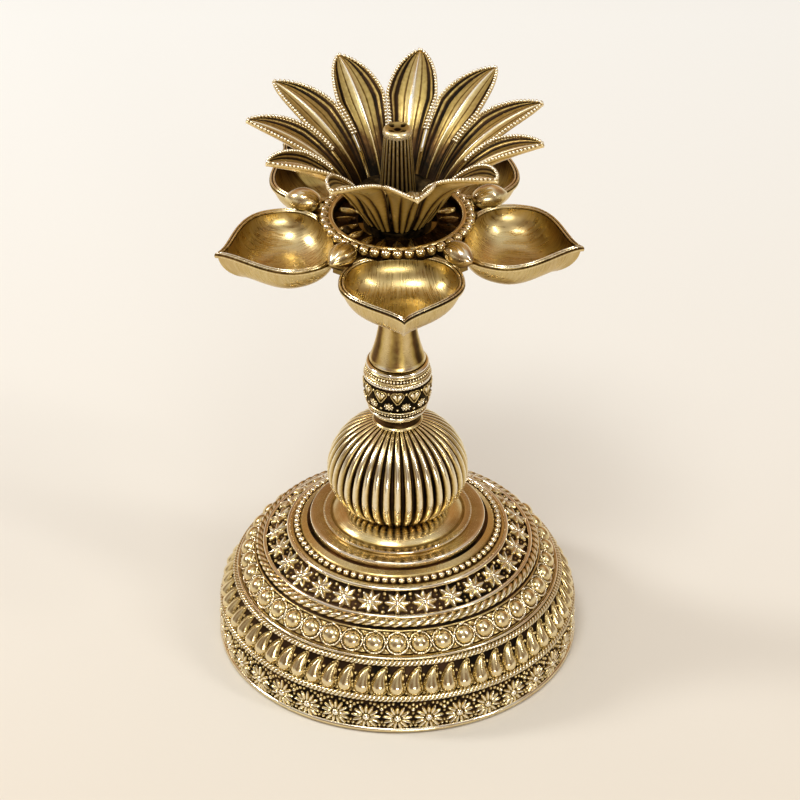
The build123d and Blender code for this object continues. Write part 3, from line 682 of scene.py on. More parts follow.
# %% Pearl row
PEARLS, PEARL_R, PEARL_SINK = 78, 1.3, 0.1
pearl_r, pearl_z, out_r, out_z = on_dome(pearl_s)
step_s = np.linspace(smooth_s, dome_s[-1], 22)
step_r, step_z, step_out_r, step_out_z = on_dome(step_s)
groove = np.clip(np.abs(step_s - pearl_s) / 2.0, 0, 1)
ledge = np.stack([step_r, step_z - 0.5 * (1 - groove**2), 0.02 + 0.6 * groove**3], axis=-1)
back_r, back_z = step_r - BAND_DEEP * step_out_r, step_z - BAND_DEEP * step_out_z
back = np.stack([back_r, back_z, 0 * step_r], axis=-1)[[-1, 0]]
strung = circle(PEARLS, pearl_r - PEARL_SINK * out_r, pearl_z - PEARL_SINK * out_z)
row = [lathe(np.concatenate([ledge, back, ledge[:1]]), 360), pearls(strung, PEARL_R)]
piece("row_of_pearls", row, "base", "carved_brass", carved, "base_dome", sharp=75)

# %% The shell's inside and its core
CORE_DEEP = 1.1
roof_z = CROWN_Z - DOME_WALL
inner = [(64.4, 0.0), (64.1, 14.6), (50.3, 37.3), (CROWN_R, roof_z)]
inside = [
    run((CROWN_R, CROWN_Z), (ROD_HOLE_R, CROWN_Z), 0, 4, (0.02, 0.2)),
    run((ROD_HOLE_R, CROWN_Z), (ROD_HOLE_R, roof_z), 0, 2, (0.2, 0.2)),
    run((ROD_HOLE_R, roof_z), inner[3], 0, 12, (0.35, 0.35)),
    run(inner[3], inner[2], -0.6, 16, (0.35, 0.4)),
    run(inner[2], inner[1], -2.0, 24, (0.4, 0.4)),
    run(inner[1], inner[0], -0.6, 14, (0.4, 0.5)),
    run(inner[0], DOME_CORNERS[0], 0, 3, (0.8, 0.9)),
    run(DOME_CORNERS[0], on_dome(FOOT_BEAD_S)[:2], 0, 2, (0.9, 0.7)),
]
core_r, core_z, core_out_r, core_out_z = on_dome(np.linspace(FOOT_BEAD_S, dome_s[-1], 60))
core = np.stack([core_r - CORE_DEEP * core_out_r, core_z - CORE_DEEP * core_out_z, 0 * core_r], axis=-1)
inside += [core, inside[0][:1]]
shell = lathe(np.concatenate(inside), 360)
piece("dome_inside", [shell], "base", "carved_brass", turned, "base_dome", sharp=40)

# %% [markdown]
# ## The column
# On the dome stand a stepped plinth, a dished foot, a melon-ribbed ball, a dark spool, a carved barrel
# and a plain swept stem, all drawn tight by a rod through the middle. Each is a lathe job, so each is an
# outline turned about the axis. Only the ball and the barrel need a second parameter: the ball's radius
# dips between ribs, and the barrel carries carving.

# %% Plinth and foot
PLINTH_R, PLINTH_Z, PLINTH_TOP, PLINTH_EDGE = 33.2, CROWN_Z, 53.0, 0.6
FOOT_R, FLANGE_TOP, FOOT_TOP, BALL_FOOT_R = 28.2, 54.2, 57.0, 14.9
DISH_OUT, DISH_IN, DISH_Z = 25.6, 24.6, FLANGE_TOP + 0.1
TEETH, TOOTH_R = 150, 0.42
plinth = [
    run((ROD_HOLE_R, PLINTH_Z), (PLINTH_R, PLINTH_Z), 0, 6, (0.1, 0.1)),
    run((PLINTH_R, PLINTH_Z), (PLINTH_R, PLINTH_TOP - PLINTH_EDGE), 0, 3, (0.25, 0.9)),
    run((PLINTH_R, PLINTH_TOP - PLINTH_EDGE), (PLINTH_R - PLINTH_EDGE, PLINTH_TOP), 0.18, 4, (1.0, 1.0)),
    run((PLINTH_R - PLINTH_EDGE, PLINTH_TOP), (FOOT_R, PLINTH_TOP), 0, 5, (0.8, 0.5)),
    run((FOOT_R, PLINTH_TOP), (ROD_HOLE_R, PLINTH_TOP), 0, 4, (0.1, 0.1)),
    run((ROD_HOLE_R, PLINTH_TOP), (ROD_HOLE_R, PLINTH_Z), 0, 2, (0.1, 0.1)),
]
turned_plinth = lathe(np.concatenate(plinth), 360)
piece("plinth", [turned_plinth], "base", "turned_brass", turned, "plinth_disc", sharp=40)
foot = [
    run((ROD_HOLE_R, PLINTH_TOP), (FOOT_R - 0.3, PLINTH_TOP), 0, 6, (0.1, 0.1)),
    run((FOOT_R - 0.3, PLINTH_TOP), (FOOT_R - 0.3, FLANGE_TOP), 0.3, 8, (0.6, 1.0)),
    run((FOOT_R - 0.3, FLANGE_TOP), (DISH_OUT, DISH_Z), -0.1, 5, (0.9, 0.6)),
    run((DISH_OUT, DISH_Z), (DISH_IN, DISH_Z), -0.2, 6, (0.4, 0.3)),
    run((DISH_IN, DISH_Z), (BALL_FOOT_R, FOOT_TOP), 1.3, 18, (0.66, 0.7)),
    run((BALL_FOOT_R, FOOT_TOP), (ROD_HOLE_R, FOOT_TOP), 0, 3, (0.1, 0.1)),
    run((ROD_HOLE_R, FOOT_TOP), (ROD_HOLE_R, PLINTH_TOP), 0, 2, (0.1, 0.1)),
]
serration = pearls(circle(TEETH, FOOT_R - 0.45, FLANGE_TOP - 0.15), TOOTH_R, 4, 8, (0.5, 1.0))
turned_foot = lathe(np.concatenate(foot), 300)
piece("dished_foot", [turned_foot, serration], "base", "turned_brass", turned, "ball_foot", sharp=40)


# %% Ribbed ball
BALL_R, BALL_NECK_R, BALL_RIBS = 26.6, 9.2, 38
RIB_SHARE, RIB_DEEP = 0.78, 0.085
BALL_Z, GIRTH_Z, BALL_TOP = FOOT_TOP, 73.3, 95.6


def ribbed_ball(rows, steps):
    """Half an ellipse below the girth and one above it, with radius * (1 - deep * (1 - rib)): a rib is a
    mound across most of its sector, and the rest is groove."""
    low, high = np.arccos(BALL_FOOT_R / BALL_R), np.arccos(BALL_NECK_R / BALL_R)
    b = np.linspace(-low, high, rows)[:, None]
    axis = np.where(b < 0, (GIRTH_Z - BALL_Z) / np.sin(low), (BALL_TOP - GIRTH_Z) / np.sin(high))
    phase = np.arange(BALL_RIBS * steps) / steps
    rib = mound(2 * np.abs(phase - np.round(phase)), RIB_SHARE)
    r = BALL_R * np.cos(b) * (1 - RIB_DEEP * (1 - rib))
    a = phase * TURN / BALL_RIBS - np.pi / 2
    points = np.stack([r * np.cos(a), r * np.sin(a), GIRTH_Z + axis * np.sin(b) + 0 * a], axis=-1)
    ends = [points[:1] * [0.25, 0.25, 1], points, points[-1:] * [0.35, 0.35, 1]]
    ends.append(ends[0])
    dark = 0 * rib[None]
    relief = np.concatenate([dark, np.repeat(0.92 * rib[None] ** 1.5, rows, axis=0), dark, dark])
    return weave(np.concatenate(ends), relief, ring=True)


ball_sheet = ribbed_ball(rows=84, steps=14)
piece("melon_ball", [ball_sheet], "base", "ribbed_brass", ribbed, "ribbed_ball", sharp=70)

# %% Spool and stem
COLLAR_Z, VASE_Z, STEM_Z, STEM_TOP = BALL_TOP, 100.8, 122.7, 176.0
BARREL_FOOT_R, STEM_FOOT_R, STEM_WAIST_R, STEM_HEAD_R = 9.5, 10.3, 6.5, 9.0
WAIST_Z, FLARE_Z = STEM_Z + 27.0, STEM_TOP - 7.6
spool = [
    run((ROD_HOLE_R, COLLAR_Z), (BALL_NECK_R, COLLAR_Z), 0, 3, (0.1, 0.1)),
    run((BALL_NECK_R, COLLAR_Z), (9.0, COLLAR_Z + 1.1), 0.35, 6, (0.7, 0.7)),
    run((9.0, COLLAR_Z + 1.1), (9.1, VASE_Z - 1.0), -0.7, 10, (0.12, 0.12)),
    run((9.1, VASE_Z - 1.0), (BARREL_FOOT_R, VASE_Z), 0.3, 6, (0.7, 0.7)),
    run((BARREL_FOOT_R, VASE_Z), (ROD_HOLE_R, VASE_Z), 0, 3, (0.1, 0.1)),
    run((ROD_HOLE_R, VASE_Z), (ROD_HOLE_R, COLLAR_Z), 0, 2, (0.1, 0.1)),
]
turned_spool = lathe(np.concatenate(spool), 120)
piece("neck_spool", [turned_spool], "base", "carved_brass", turned, "neck_collar", sharp=40)
stem = [
    run((ROD_HOLE_R, STEM_Z), (STEM_FOOT_R, STEM_Z), 0, 3, (0.1, 0.1)),
    run((STEM_FOOT_R, STEM_Z), (STEM_FOOT_R, STEM_Z + 1.0), 0.2, 5, (0.5, 0.9)),
    run((STEM_FOOT_R, STEM_Z + 1.0), (STEM_WAIST_R, WAIST_Z), -1.25, 26, (0.55, 0.55)),
    run((STEM_WAIST_R, WAIST_Z), (STEM_WAIST_R, FLARE_Z), 0, 12, (0.55, 0.5)),
    run((STEM_WAIST_R, FLARE_Z), (STEM_HEAD_R, STEM_TOP - 1.6), -0.6, 10, (0.55, 0.3)),
    run((STEM_HEAD_R, STEM_TOP - 1.6), (STEM_HEAD_R, STEM_TOP), 0.2, 5, (0.6, 0.4)),
    run((STEM_HEAD_R, STEM_TOP), (ROD_HOLE_R, STEM_TOP), 0, 3, (0.1, 0.1)),
    run((ROD_HOLE_R, STEM_TOP), (ROD_HOLE_R, STEM_Z), 0, 6, (0.1, 0.1)),
]
# Painted reflection: the stem's relief is lowered and beats twice and six times round, so bright and dark
# streaks run up it.
points, faces, shade = lathe(np.concatenate(stem), 160)
side = np.arctan2(points[:, 1], points[:, 0])
shade = shade - 0.15 + 0.07 * np.cos(2 * side + 3.3) + 0.22 * np.cos(6 * side + 0.3)
piece("swept_stem", [(points, faces, shade)], "base", "turned_brass", turned, "stem_cone", sharp=40)


# %% [markdown]
# ### The carved barrel
# Above the spool the neck swells into a small barrel with hearts and daisies between beaded lines and a
# rope. It is the same trick as on the dome: a height over a turned line, worked out once for a repeat and
# tiled.


# %% Barrel
HEARTS, BARREL_R, BARREL_TOP_R, BARREL_BULGE = 12, 12.0, 10.4, 2.5
# Heights up the barrel of its daisies, its rope, its rows of beads and its two rims.
DAISY_Z, CORD_Z, BEAD_LINES, RIMS = 8.0, 16.2, (3.3, 18.6), (1.3, 21.0)


def barrel_motif(x, y, pitch):
    """Hearts above, daisies between them, beaded lines, plain lines and a rope; heights in millimetres."""
    t = np.linspace(0, 1, 12)
    lobe = np.stack([0.92 * (1 - t), 12.9 - 2.9 * t], axis=-1)
    heart, outside = drop(np.abs(x), y, lobe, 0.92 - 0.74 * t)
    outline = 0.42 * mound(np.abs(outside - 0.45), 0.24)
    side = around_repeat(x, pitch / 2, pitch)
    daisy = 0.7 * np.sqrt(rays(side, y - DAISY_Z, 8, 0.45, 1.85, 0.48, 2.4))
    eye = 0.8 * mound(np.hypot(side, y - DAISY_Z), 0.5)
    small = 0.6 * mound(np.hypot(x, y - 6.6), 0.55)
    above = 0.55 * mound(np.hypot(side, y - 13.6), 0.55)
    fine = around_repeat(x, 0.0, pitch / 5)
    beads = np.maximum.reduce([mound(np.hypot(fine, y - up), 0.56) for up in BEAD_LINES])
    twist = (x / pitch * 5 + (y - CORD_Z) * 0.55) % 1.0
    cord = 0.75 * mound(np.abs(y - CORD_Z), 0.85) * (0.45 + 0.55 * mound(np.abs(2 * twist - 1), 1.02))
    lines = sum(rise * mound(np.abs(y - up), 0.42) for up, rise in ((4.6, 0.6), (17.5, 0.5), (19.7, 0.5)))
    rims = sum(mound(np.abs(y - up), 0.75) for up in RIMS)
    flowers = np.maximum.reduce([daisy, eye, small, above])
    height = np.maximum.reduce([0.75 * heart, outline, flowers, 0.65 * beads, cord, lines, rims])
    return height, np.clip(height / 0.62, 0, 1)


def carved_barrel(rows, repeats, steps):
    """The barrel's bowed side moved outwards by the motif's height."""
    side = run((BARREL_FOOT_R, VASE_Z), (BARREL_TOP_R, STEM_Z), BARREL_BULGE, rows - 1)
    r, z = side[:, 0], side[:, 1]
    pitch = TURN * BARREL_R / repeats
    x, y = np.meshgrid((np.arange(steps) / steps - 0.5) * pitch, z - VASE_Z)
    height, relief = barrel_motif(x, y, pitch)
    a = (np.arange(repeats * steps) / steps - 0.5) * TURN / repeats - np.pi / 2
    far = r[:, None] + np.tile(height, repeats)
    points = np.stack([far * np.cos(a), far * np.sin(a), z[:, None] + 0 * a], axis=-1)
    hollow = np.stack([ROD_HOLE_R * np.cos(a), ROD_HOLE_R * np.sin(a), 0 * a], axis=-1)[None]
    ends = [hollow + [0, 0, VASE_Z], points, hollow + [0, 0, STEM_Z], hollow + [0, 0, VASE_Z]]
    dark = np.zeros((1, len(a)))
    shade = np.concatenate([dark, np.tile(relief, repeats), dark, dark])
    return weave(np.concatenate(ends), shade, ring=True)


barrel_sheet = carved_barrel(rows=112, repeats=HEARTS, steps=34)
piece("carved_barrel", [barrel_sheet], "base", "carved_brass", carved, "neck_vase", sharp=75)

# %% [markdown]
# ## The tray of bowls
# Five leaf-shaped oil bowls stand round a beaded collar. A bowl is a betel leaf in plan. Its walls turn
# from upright at the rim to flat at the floor, so every level is the same leaf, only smaller: one grid of
# outline times profile makes the whole bowl, outside, rolled rim and inside. Scaling the leaf keeps its
# tip sharp, which an offset would round away. Soot from the wick darkens each bowl towards its tip, and
# painted shade makes the front bowl darkest and the left bowl lightest.

# %% The leaf's outline
BOWLS, FIRST_BOWL = 5, -88.0
BOWL_MID, BOWL_RIM_Z = 44.0, 183.0
LEAF = ((68.5, 0), (61.5, 3), (56, 21.5), (43, 21.5), (30, 21.5), (25, 13), (25, 0))


def bezier(points, t):
    """Cubic curve from the first of four places to the last, drawn towards the two between: the sum of
    (1-t)^3, 3 t (1-t)^2, 3 t^2 (1-t) and t^3 shares."""
    share = np.stack([(1 - t) ** 3, 3 * t * (1 - t) ** 2, 3 * t**2 * (1 - t), t**3], axis=-1)
    return share @ np.array(points, float)


def leaf_outline(steps):
    """The leaf from its tip round by the left side and back, with even steps in each curve."""
    t = np.arange(steps) / steps
    left = np.concatenate([bezier(LEAF[:4], t), bezier(LEAF[3:], t)])
    right = np.concatenate([[LEAF[-1]], left[:0:-1]]) * [1, -1]
    return np.concatenate([left, right])


leaf = leaf_outline(60)
print("leaf outline of", len(leaf), "places,", np.ptp(leaf, axis=0), "mm")


# %% Profile of a bowl
HULL_DEEP, BOWL_DEEP = 13.5, 11.7


def bowl_profile():
    """Share of the leaf, depth below the rim and relief: up the hull, over a double-rolled rim, and down the
    inside. Hull and inside are quarter turns; the rim's two rolls are one wave of |sin|."""
    turn = np.linspace(np.pi / 2, 0.12, 26)
    # The hull's relief falls to 0.50 towards the bottom: painted shade under the bowl.
    hull = np.stack([0.35 + 0.65 * np.cos(turn), HULL_DEEP * np.sin(turn), 0.62 - 0.12 * np.sin(turn)], -1)
    t = np.linspace(0, 1, 25)
    roll = np.abs(np.sin(TURN * t)) ** 0.7
    rim = np.stack([1.045 - 0.112 * t, 0.75 * (1 - roll), 0.05 + 0.95 * roll], axis=-1)
    lip = [[1.0, 2.1, 0.25], [1.036, 2.1, 0.5], [1.047, 1.5, 0.8]]
    turn = np.linspace(0.02, np.pi / 2, 34)
    deep = BOWL_DEEP * np.sin(turn) + 0.5 * np.cos(turn)
    inner = np.stack([0.324 + 0.602 * np.cos(turn), deep, 0.68 - 0.12 * np.cos(turn) ** 4], axis=-1)
    under, floor = [[0, HULL_DEEP, 0.6]], [[0.16, 12.0, 0.6], [0, 12.05, 0.6]]
    return np.concatenate([under, hull, lip, rim, inner, floor])


print("a bowl's profile has", len(bowl_profile()), "places")

# %% Bowls and their lugs
PLATE_LOW, PLATE_TOP = 179.0, 181.0
LUG_IN, LUG_OUT, LUG_SPREAD = 8.4, 26.5, 0.38
# Distance from the axis, and the level that the rim keeps below there to pass under the collar's beads.
UNDER_BEADS = ((25.5, 181.0), (25.7, 181.8), (28.4, 181.8), (29.4, 183.0))
SOOT_FROM, SOOT_REACH = 46.0, 14.0
# How dark each bowl gets towards its tip: soot, with painted shade that makes the front bowl darkest and the
# left bowl lightest.
SOOT_AND_SHADE = (0.60, 0.24, 0.35, 0.35, 0.14)


def flat_bar(corners, relief):
    """Plate with upright sides between the hub's two levels, over corners in turn, closed at its middle."""
    middle = corners.mean(axis=0) + 0 * corners
    levels = ((middle, PLATE_LOW), (corners, PLATE_LOW), (corners, PLATE_TOP), (middle, PLATE_TOP))
    points = np.stack([np.column_stack([xy, np.full(len(xy), z)]) for xy, z in levels])
    return weave(points, relief * np.ones(points.shape[:2]), ring=True)


def bowl_sheets(soot_and_shade):
    """The bowl along +X, darker inside towards its tip by soot and by painted shade that differs from bowl
    to bowl, and the lug that the collar clamps. Under the beads the rim is cut down."""
    share, deep, relief = (bowl_profile()[:, i, None] for i in range(3))
    x = BOWL_MID + (leaf[:, 0] - BOWL_MID) * share
    y = leaf[:, 1] * share
    z = np.minimum(BOWL_RIM_Z - deep, np.interp(np.hypot(x, y), *zip(*UNDER_BEADS)))
    inside = np.arange(len(share))[:, None] > share.argmax()
    sooty = 0.12 + np.clip((x - SOOT_FROM) / SOOT_REACH, 0, 1)
    shell = weave(np.stack([x, y, z], axis=-1), relief - soot_and_shade * sooty * inside * (relief < 0.7), ring=True)
    ends = np.array([LUG_OUT, LUG_OUT, LUG_IN, LUG_IN])
    lug = np.stack([ends, ends * LUG_SPREAD * np.array([-1, 1, 1, -1])], axis=-1)
    return [shell, flat_bar(lug, 0.4)]


for i, soot_and_shade in enumerate(SOOT_AND_SHADE):
    sheets = [spun(sheet, FIRST_BOWL + 360 / BOWLS * i) for sheet in bowl_sheets(soot_and_shade)]
    piece(f"oil_bowl_{i + 1}", sheets, "tray", "bowl_brass", satin, f"bowl_{i + 1}", sharp=55)

# %% [markdown]
# ### The beaded collar and the buds
# Round the well runs an upright collar with forty beads outside it. Its flange is chased with leaves,
# which show as glints in the dark well. Between two bowls lies an oval bud: one of the five is veined
# like a leaf.

# %% Beaded collar
RING_Z, FLANGE_Z, RING_TOP = PLATE_TOP, 182.4, 185.6
WELL_R, RING_IN, RING_OUT = 14.4, 23.4, 25.2
BEADS, BEAD_R, BEAD_ROW_R, BEAD_Z = 40, 1.9, 26.4, 184.1
WELL_LEAVES, LEAF_STEPS = 20, 16
collar = [
    run((WELL_R, RING_Z), (RING_OUT, RING_Z), 0, 4, (0.1, 0.1)),
    run((RING_OUT, RING_Z), (RING_OUT, RING_TOP - 0.5), 0, 6, (0.05, 0.3)),
    run((RING_OUT, RING_TOP - 0.5), (RING_IN, RING_TOP - 0.5), 0.55, 10, (0.7, 0.7)),
    run((RING_IN, RING_TOP - 0.5), (RING_IN, FLANGE_Z), 0, 6, (0.35, 0.05)),
]


def leaf_floor(rows, count, steps):
    """Flange of the well: a flat ring that rises under each leaf, 1.3 * mound across a leaf's width."""
    r = np.linspace(RING_IN, WELL_R, rows)
    t = np.clip((r - WELL_R - 0.6) / (RING_IN - WELL_R - 1.0), 0, 1)[:, None]
    phase = np.arange(count * steps) / steps
    across = (phase - np.round(phase)) * TURN / count * r[:, None]
    half = 1.9 * np.sin(np.pi * t) + 1e-6
    rise = mound(across, half) * (half > 0.1)
    vein = 0.75 + 0.25 * np.cos(across * 5 + 4 * t)
    worn = np.repeat(chance.uniform(0.1, 1.0, count), steps)
    a = phase * TURN / count
    level = FLANGE_Z + 1.3 * rise * vein
    points = np.stack([r[:, None] * np.cos(a), r[:, None] * np.sin(a), level], axis=-1)
    closed = np.concatenate([points, points[-1:] * [1, 1, 0] + [0, 0, RING_Z]])
    shade = np.concatenate([0.1 + 0.8 * worn * rise * vein, np.zeros((1, len(a)))])
    return weave(closed, shade, ring=True)


beads = pearls(circle(BEADS, BEAD_ROW_R, BEAD_Z), BEAD_R, 10, 16, (0.15, 1.0))
wall = lathe(np.concatenate(collar), WELL_LEAVES * LEAF_STEPS)
sheets = [wall, leaf_floor(rows=22, count=WELL_LEAVES, steps=LEAF_STEPS), beads]
piece("beaded_collar", sheets, "tray", "carved_brass", carved, "bead_ring", sharp=50)

# %% Buds
BUD_AT, BUD_Z, BUD_L, BUD_W, VEINED_BUD = 35.7, 185.0, 14.0, 9.4, 4
TANG_IN, TANG_OUT, TANG_HALF = WELL_R, 38.2, 2.0


def bud_sheet(veined):
    """Oval bud: a round section whose radius follows two quarter curves along its length, drawn to a point
    at the outer end; veins are shallow ridges that run its length, |cos 5a|, with a slight twist."""
    t = np.linspace(-1, 1, 42)[:, None]
    blunt, pointed = np.sqrt(np.clip(1 - t**2, 0, None)), np.clip(1 - np.abs(t) ** 1.7, 0, None) ** 0.72
    swell = np.where(t < 0, blunt, pointed)
    a = np.arange(48) * TURN / 48
    ridges = np.abs(np.cos(5 * a - 0.6 * t)) + 0 * t
    carve = 0.5 * ridges * veined * (1 - t**4)
    r = (BUD_W / 2 - 0.3 * veined) * swell + carve * swell
    x = BUD_AT + t * BUD_L / 2 + 0 * a
    points = np.stack([x, r * np.cos(a), BUD_Z + r * np.sin(a)], axis=-1)
    # Painted shade: the bud is lighter on top and darker underneath; patina darkens the hollows between veins.
    relief = 0.55 + 0.35 * np.sin(a) * np.ones_like(t) - 0.5 * veined * (1 - ridges) * swell
    return weave(points, relief, ring=True)


# A flat tang under each bud is clamped by the collar.
tang = np.array([[TANG_IN, -TANG_HALF], [TANG_OUT, -TANG_HALF], [TANG_OUT, TANG_HALF], [TANG_IN, TANG_HALF]])
for i in range(BOWLS):
    sheets = [bud_sheet(1.0 if i == VEINED_BUD else 0.0), flat_bar(tang, 0.3)]
    sheets = [spun(sheet, FIRST_BOWL + 360 / BOWLS * (i + 0.5)) for sheet in sheets]
    piece(f"oval_bud_{i + 1}", sheets, "tray", "turned_brass", turned, f"bud_{i + 1}", sharp=60)

# %% [markdown]
# ## The lotus
# Eleven petals spring from a cup and lean outwards. A petal is a section carried along an arc: a trough
# with a raised midrib and two veins inside, flutes outside, and a row of tiny beads along its rim. Cloth
# tools or a sculpt could bend it, but the section is a plain function of the place along the petal and
# across it, so one grid makes front, back and edges, and the beads can be strung on the same edge line.

# %% Where a petal runs
PETALS, FIRST_PETAL = 11, 81.0
LEAN, TIP_LEAN, BLADE_L, ROOT_L = 58.0, 18.3, 49.6, 9.2
ROOT_R, ROOT_Z = 15.82, 193.0
WIDTH, WIDE_AT, TROUGH, PETAL_GAP = 18.6, 0.52, 3.2, 0.4


def petal_line(s, droop):
    """Radius, height, lean, half width and trough depth of a petal at distances along it: a straight root,
    then an arc whose lean falls evenly from root to tip. A petal is never wider than its sector."""
    share = np.clip(s / BLADE_L, 0, 1)
    turn = np.radians(LEAN - TIP_LEAN + droop)
    lean = np.radians(LEAN) - turn * share
    bend = BLADE_L / turn
    back = np.minimum(s, 0)
    r = ROOT_R + bend * (np.sin(np.radians(LEAN)) - np.sin(lean)) + back * np.cos(np.radians(LEAN))
    z = ROOT_Z + bend * (np.cos(lean) - np.cos(np.radians(LEAN))) + back * np.sin(np.radians(LEAN))
    past = np.clip((share - WIDE_AT) / (1 - WIDE_AT), 0, 1)
    before = np.clip((WIDE_AT - share) / WIDE_AT, 0, 1)
    half = WIDTH / 2 * np.where(share > WIDE_AT, np.maximum((1 - past**2) ** 0.75, 0.06), 1 - before**2 / 2)
    trough = TROUGH * np.sin(np.pi * share) + 0.12
    sector = (r - trough * np.sin(lean)) * np.tan(np.pi / PETALS) - PETAL_GAP
    return r, z, lean, np.minimum(half, sector), trough


def off_petal(r, z, lean, across, rise):
    """A place square to the petal's line: moved sideways by across and towards the front by rise."""
    return np.stack([r - rise * np.sin(lean), across, z + rise * np.cos(lean)], axis=-1)


tip_r = petal_line(np.array([BLADE_L]), 0.0)[0]
print("petal tip at", round(float(tip_r[0]), 1), "mm from the axis")


# %% One petal with its beads
BEADS_A_SIDE, BEADS_FROM = 28, 0.33


def petal_sheets(droop):
    """Front, edges and back of a petal as one ring of columns, closed at both ends, and its rim beads."""
    s = np.concatenate([np.linspace(-ROOT_L, 0, 10)[:-1], np.linspace(0, BLADE_L, 74)])
    r, z, lean, half, trough = (v[:, None] for v in petal_line(s, droop))
    share = np.clip(s / BLADE_L, 0, 1)[:, None]
    v = np.linspace(1, -1, 67)[None]
    w = np.abs(v)
    open_out = np.sin(np.pi * share) ** 0.6
    keel = np.clip(1 - w / 0.58, 0, 1)
    crest = mound(w, 0.07)
    groove = mound(w - 0.64, 0.08)
    channel = mound(w - 0.86, 0.06)
    vein = mound(w - 0.30, 0.035)
    carving = 1.35 * keel + 0.3 * crest + 0.12 * vein - 0.4 * groove - 0.35 * channel
    front = trough * v**2 + open_out * carving
    from_root = np.clip(share / 0.45, 0, 1) ** 1.3
    bright = (0.42 + 0.22 * keel - 0.3 * vein) * (0.06 + 0.94 * from_root) + 0.42 * crest + 0.3 * (w > 0.92)
    bright = bright * (1 - 0.95 * groove) * (1 - 0.95 * channel)
    flutes = np.abs(np.cos(1.5 * np.pi * v)) ** 0.6
    fade = (1 - share) ** 0.5
    thick = 1.8 - 0.6 * share - (0.8 - 0.2 * share) * v**2
    back = trough * v**2 - thick + 0.75 * (1 - flutes) * fade * (1 - v**4)
    # Outside, the flutes are dark with patina near the root, and the relief rises towards the tip: a painted
    # highlight.
    outside = 0.60 + 0.26 * share - 0.78 * (1 - flutes) * fade
    edge = off_petal(r, z, lean, v * half, front)
    rear = off_petal(r, z, lean, v * half, back)[:, ::-1]
    points = np.concatenate([edge, rear], axis=1)
    shade = np.concatenate([bright, outside[:, ::-1]], axis=1)
    middle = points.mean(axis=1, keepdims=True) + 0 * points
    points = np.concatenate([middle[:1], points, middle[-1:] + [0.25, 0, 0.08]])
    shade = np.concatenate([shade[:1], shade, shade[-1:]])
    bead_s = np.tile(np.linspace(BEADS_FROM * BLADE_L, BLADE_L - 0.4, BEADS_A_SIDE), 2)
    hand = np.repeat([1.0, -1.0], BEADS_A_SIDE)
    r, z, lean, half, trough = petal_line(bead_s, droop)
    strung = off_petal(r, z, lean, hand * (half - 0.35), trough + 0.3)
    sizes = 0.74 - 0.1 * np.clip(bead_s / BLADE_L, 0, 1)
    return [weave(points, shade, ring=True), pearls(strung, sizes, 5, 8, (0.55, 1.0))]


for i, droop in enumerate(chance.uniform(-1.2, 1.2, PETALS)):
    sheets = [spun(sheet, FIRST_PETAL + 360 / PETALS * i) for sheet in petal_sheets(droop)]
    piece(f"lotus_petal_{i + 1}", sheets, "lotus", "lotus_brass", lotus, f"petal_{i + 1}", sharp=60)

# %% [markdown]
# ## The incense holder
# In the lotus stands a fluted cone under a dished cap with holes for sticks. The cone's radius dips
# between its flutes as the ball's does. The cap is a height over a disc, and a hole is a place where that
# height drops.

# %% Fluted cone
CONE_Z, CAP_Z, CONE_R, CONE_TOP_R = 189.5, 218.5, 7.0, 5.0
FLUTES, FLUTE_SHARE, FLUTE_DEEP = 22, 0.74, 0.15


def fluted_cone(rows, steps):
    """Radius falls evenly from foot to top and dips by a share between flutes."""
    t = np.linspace(0, 1, rows)[:, None]
    phase = np.arange(FLUTES * steps) / steps
    rib = mound(2 * np.abs(phase - np.round(phase)), FLUTE_SHARE)
    r = (CONE_R + (CONE_TOP_R - CONE_R) * t) * (1 - FLUTE_DEEP * (1 - rib))
    a = phase * TURN / FLUTES - np.pi / 2
    points = np.stack([r * np.cos(a), r * np.sin(a), CONE_Z + (CAP_Z - CONE_Z) * t + 0 * a], axis=-1)
    ends = [points[:1] * [0, 0, 1], points, points[-1:] * [0, 0, 1]]
    relief = np.concatenate([0 * rib[None], (0.45 + 0.5 * t) * rib**2, 0 * rib[None]])
    return weave(np.concatenate(ends), relief, ring=True)


cone_sheet = fluted_cone(rows=40, steps=12)
piece("fluted_cone", [cone_sheet], "holder", "lotus_brass", lotus, "incense_cone", sharp=70)

# %% Cap with stick holes
CAP_R, CAP_TOP, CAP_ROUND, CAP_DISH = 5.3, 221.0, 1.6, 0.9
MIDDLE_HOLE_R, SIDE_HOLE_R, SIDE_HOLES, HOLE_ROW_R = 1.25, 1.05, 4, 3.0
HOLE_DEEP, BEVEL = 2.3, 0.12


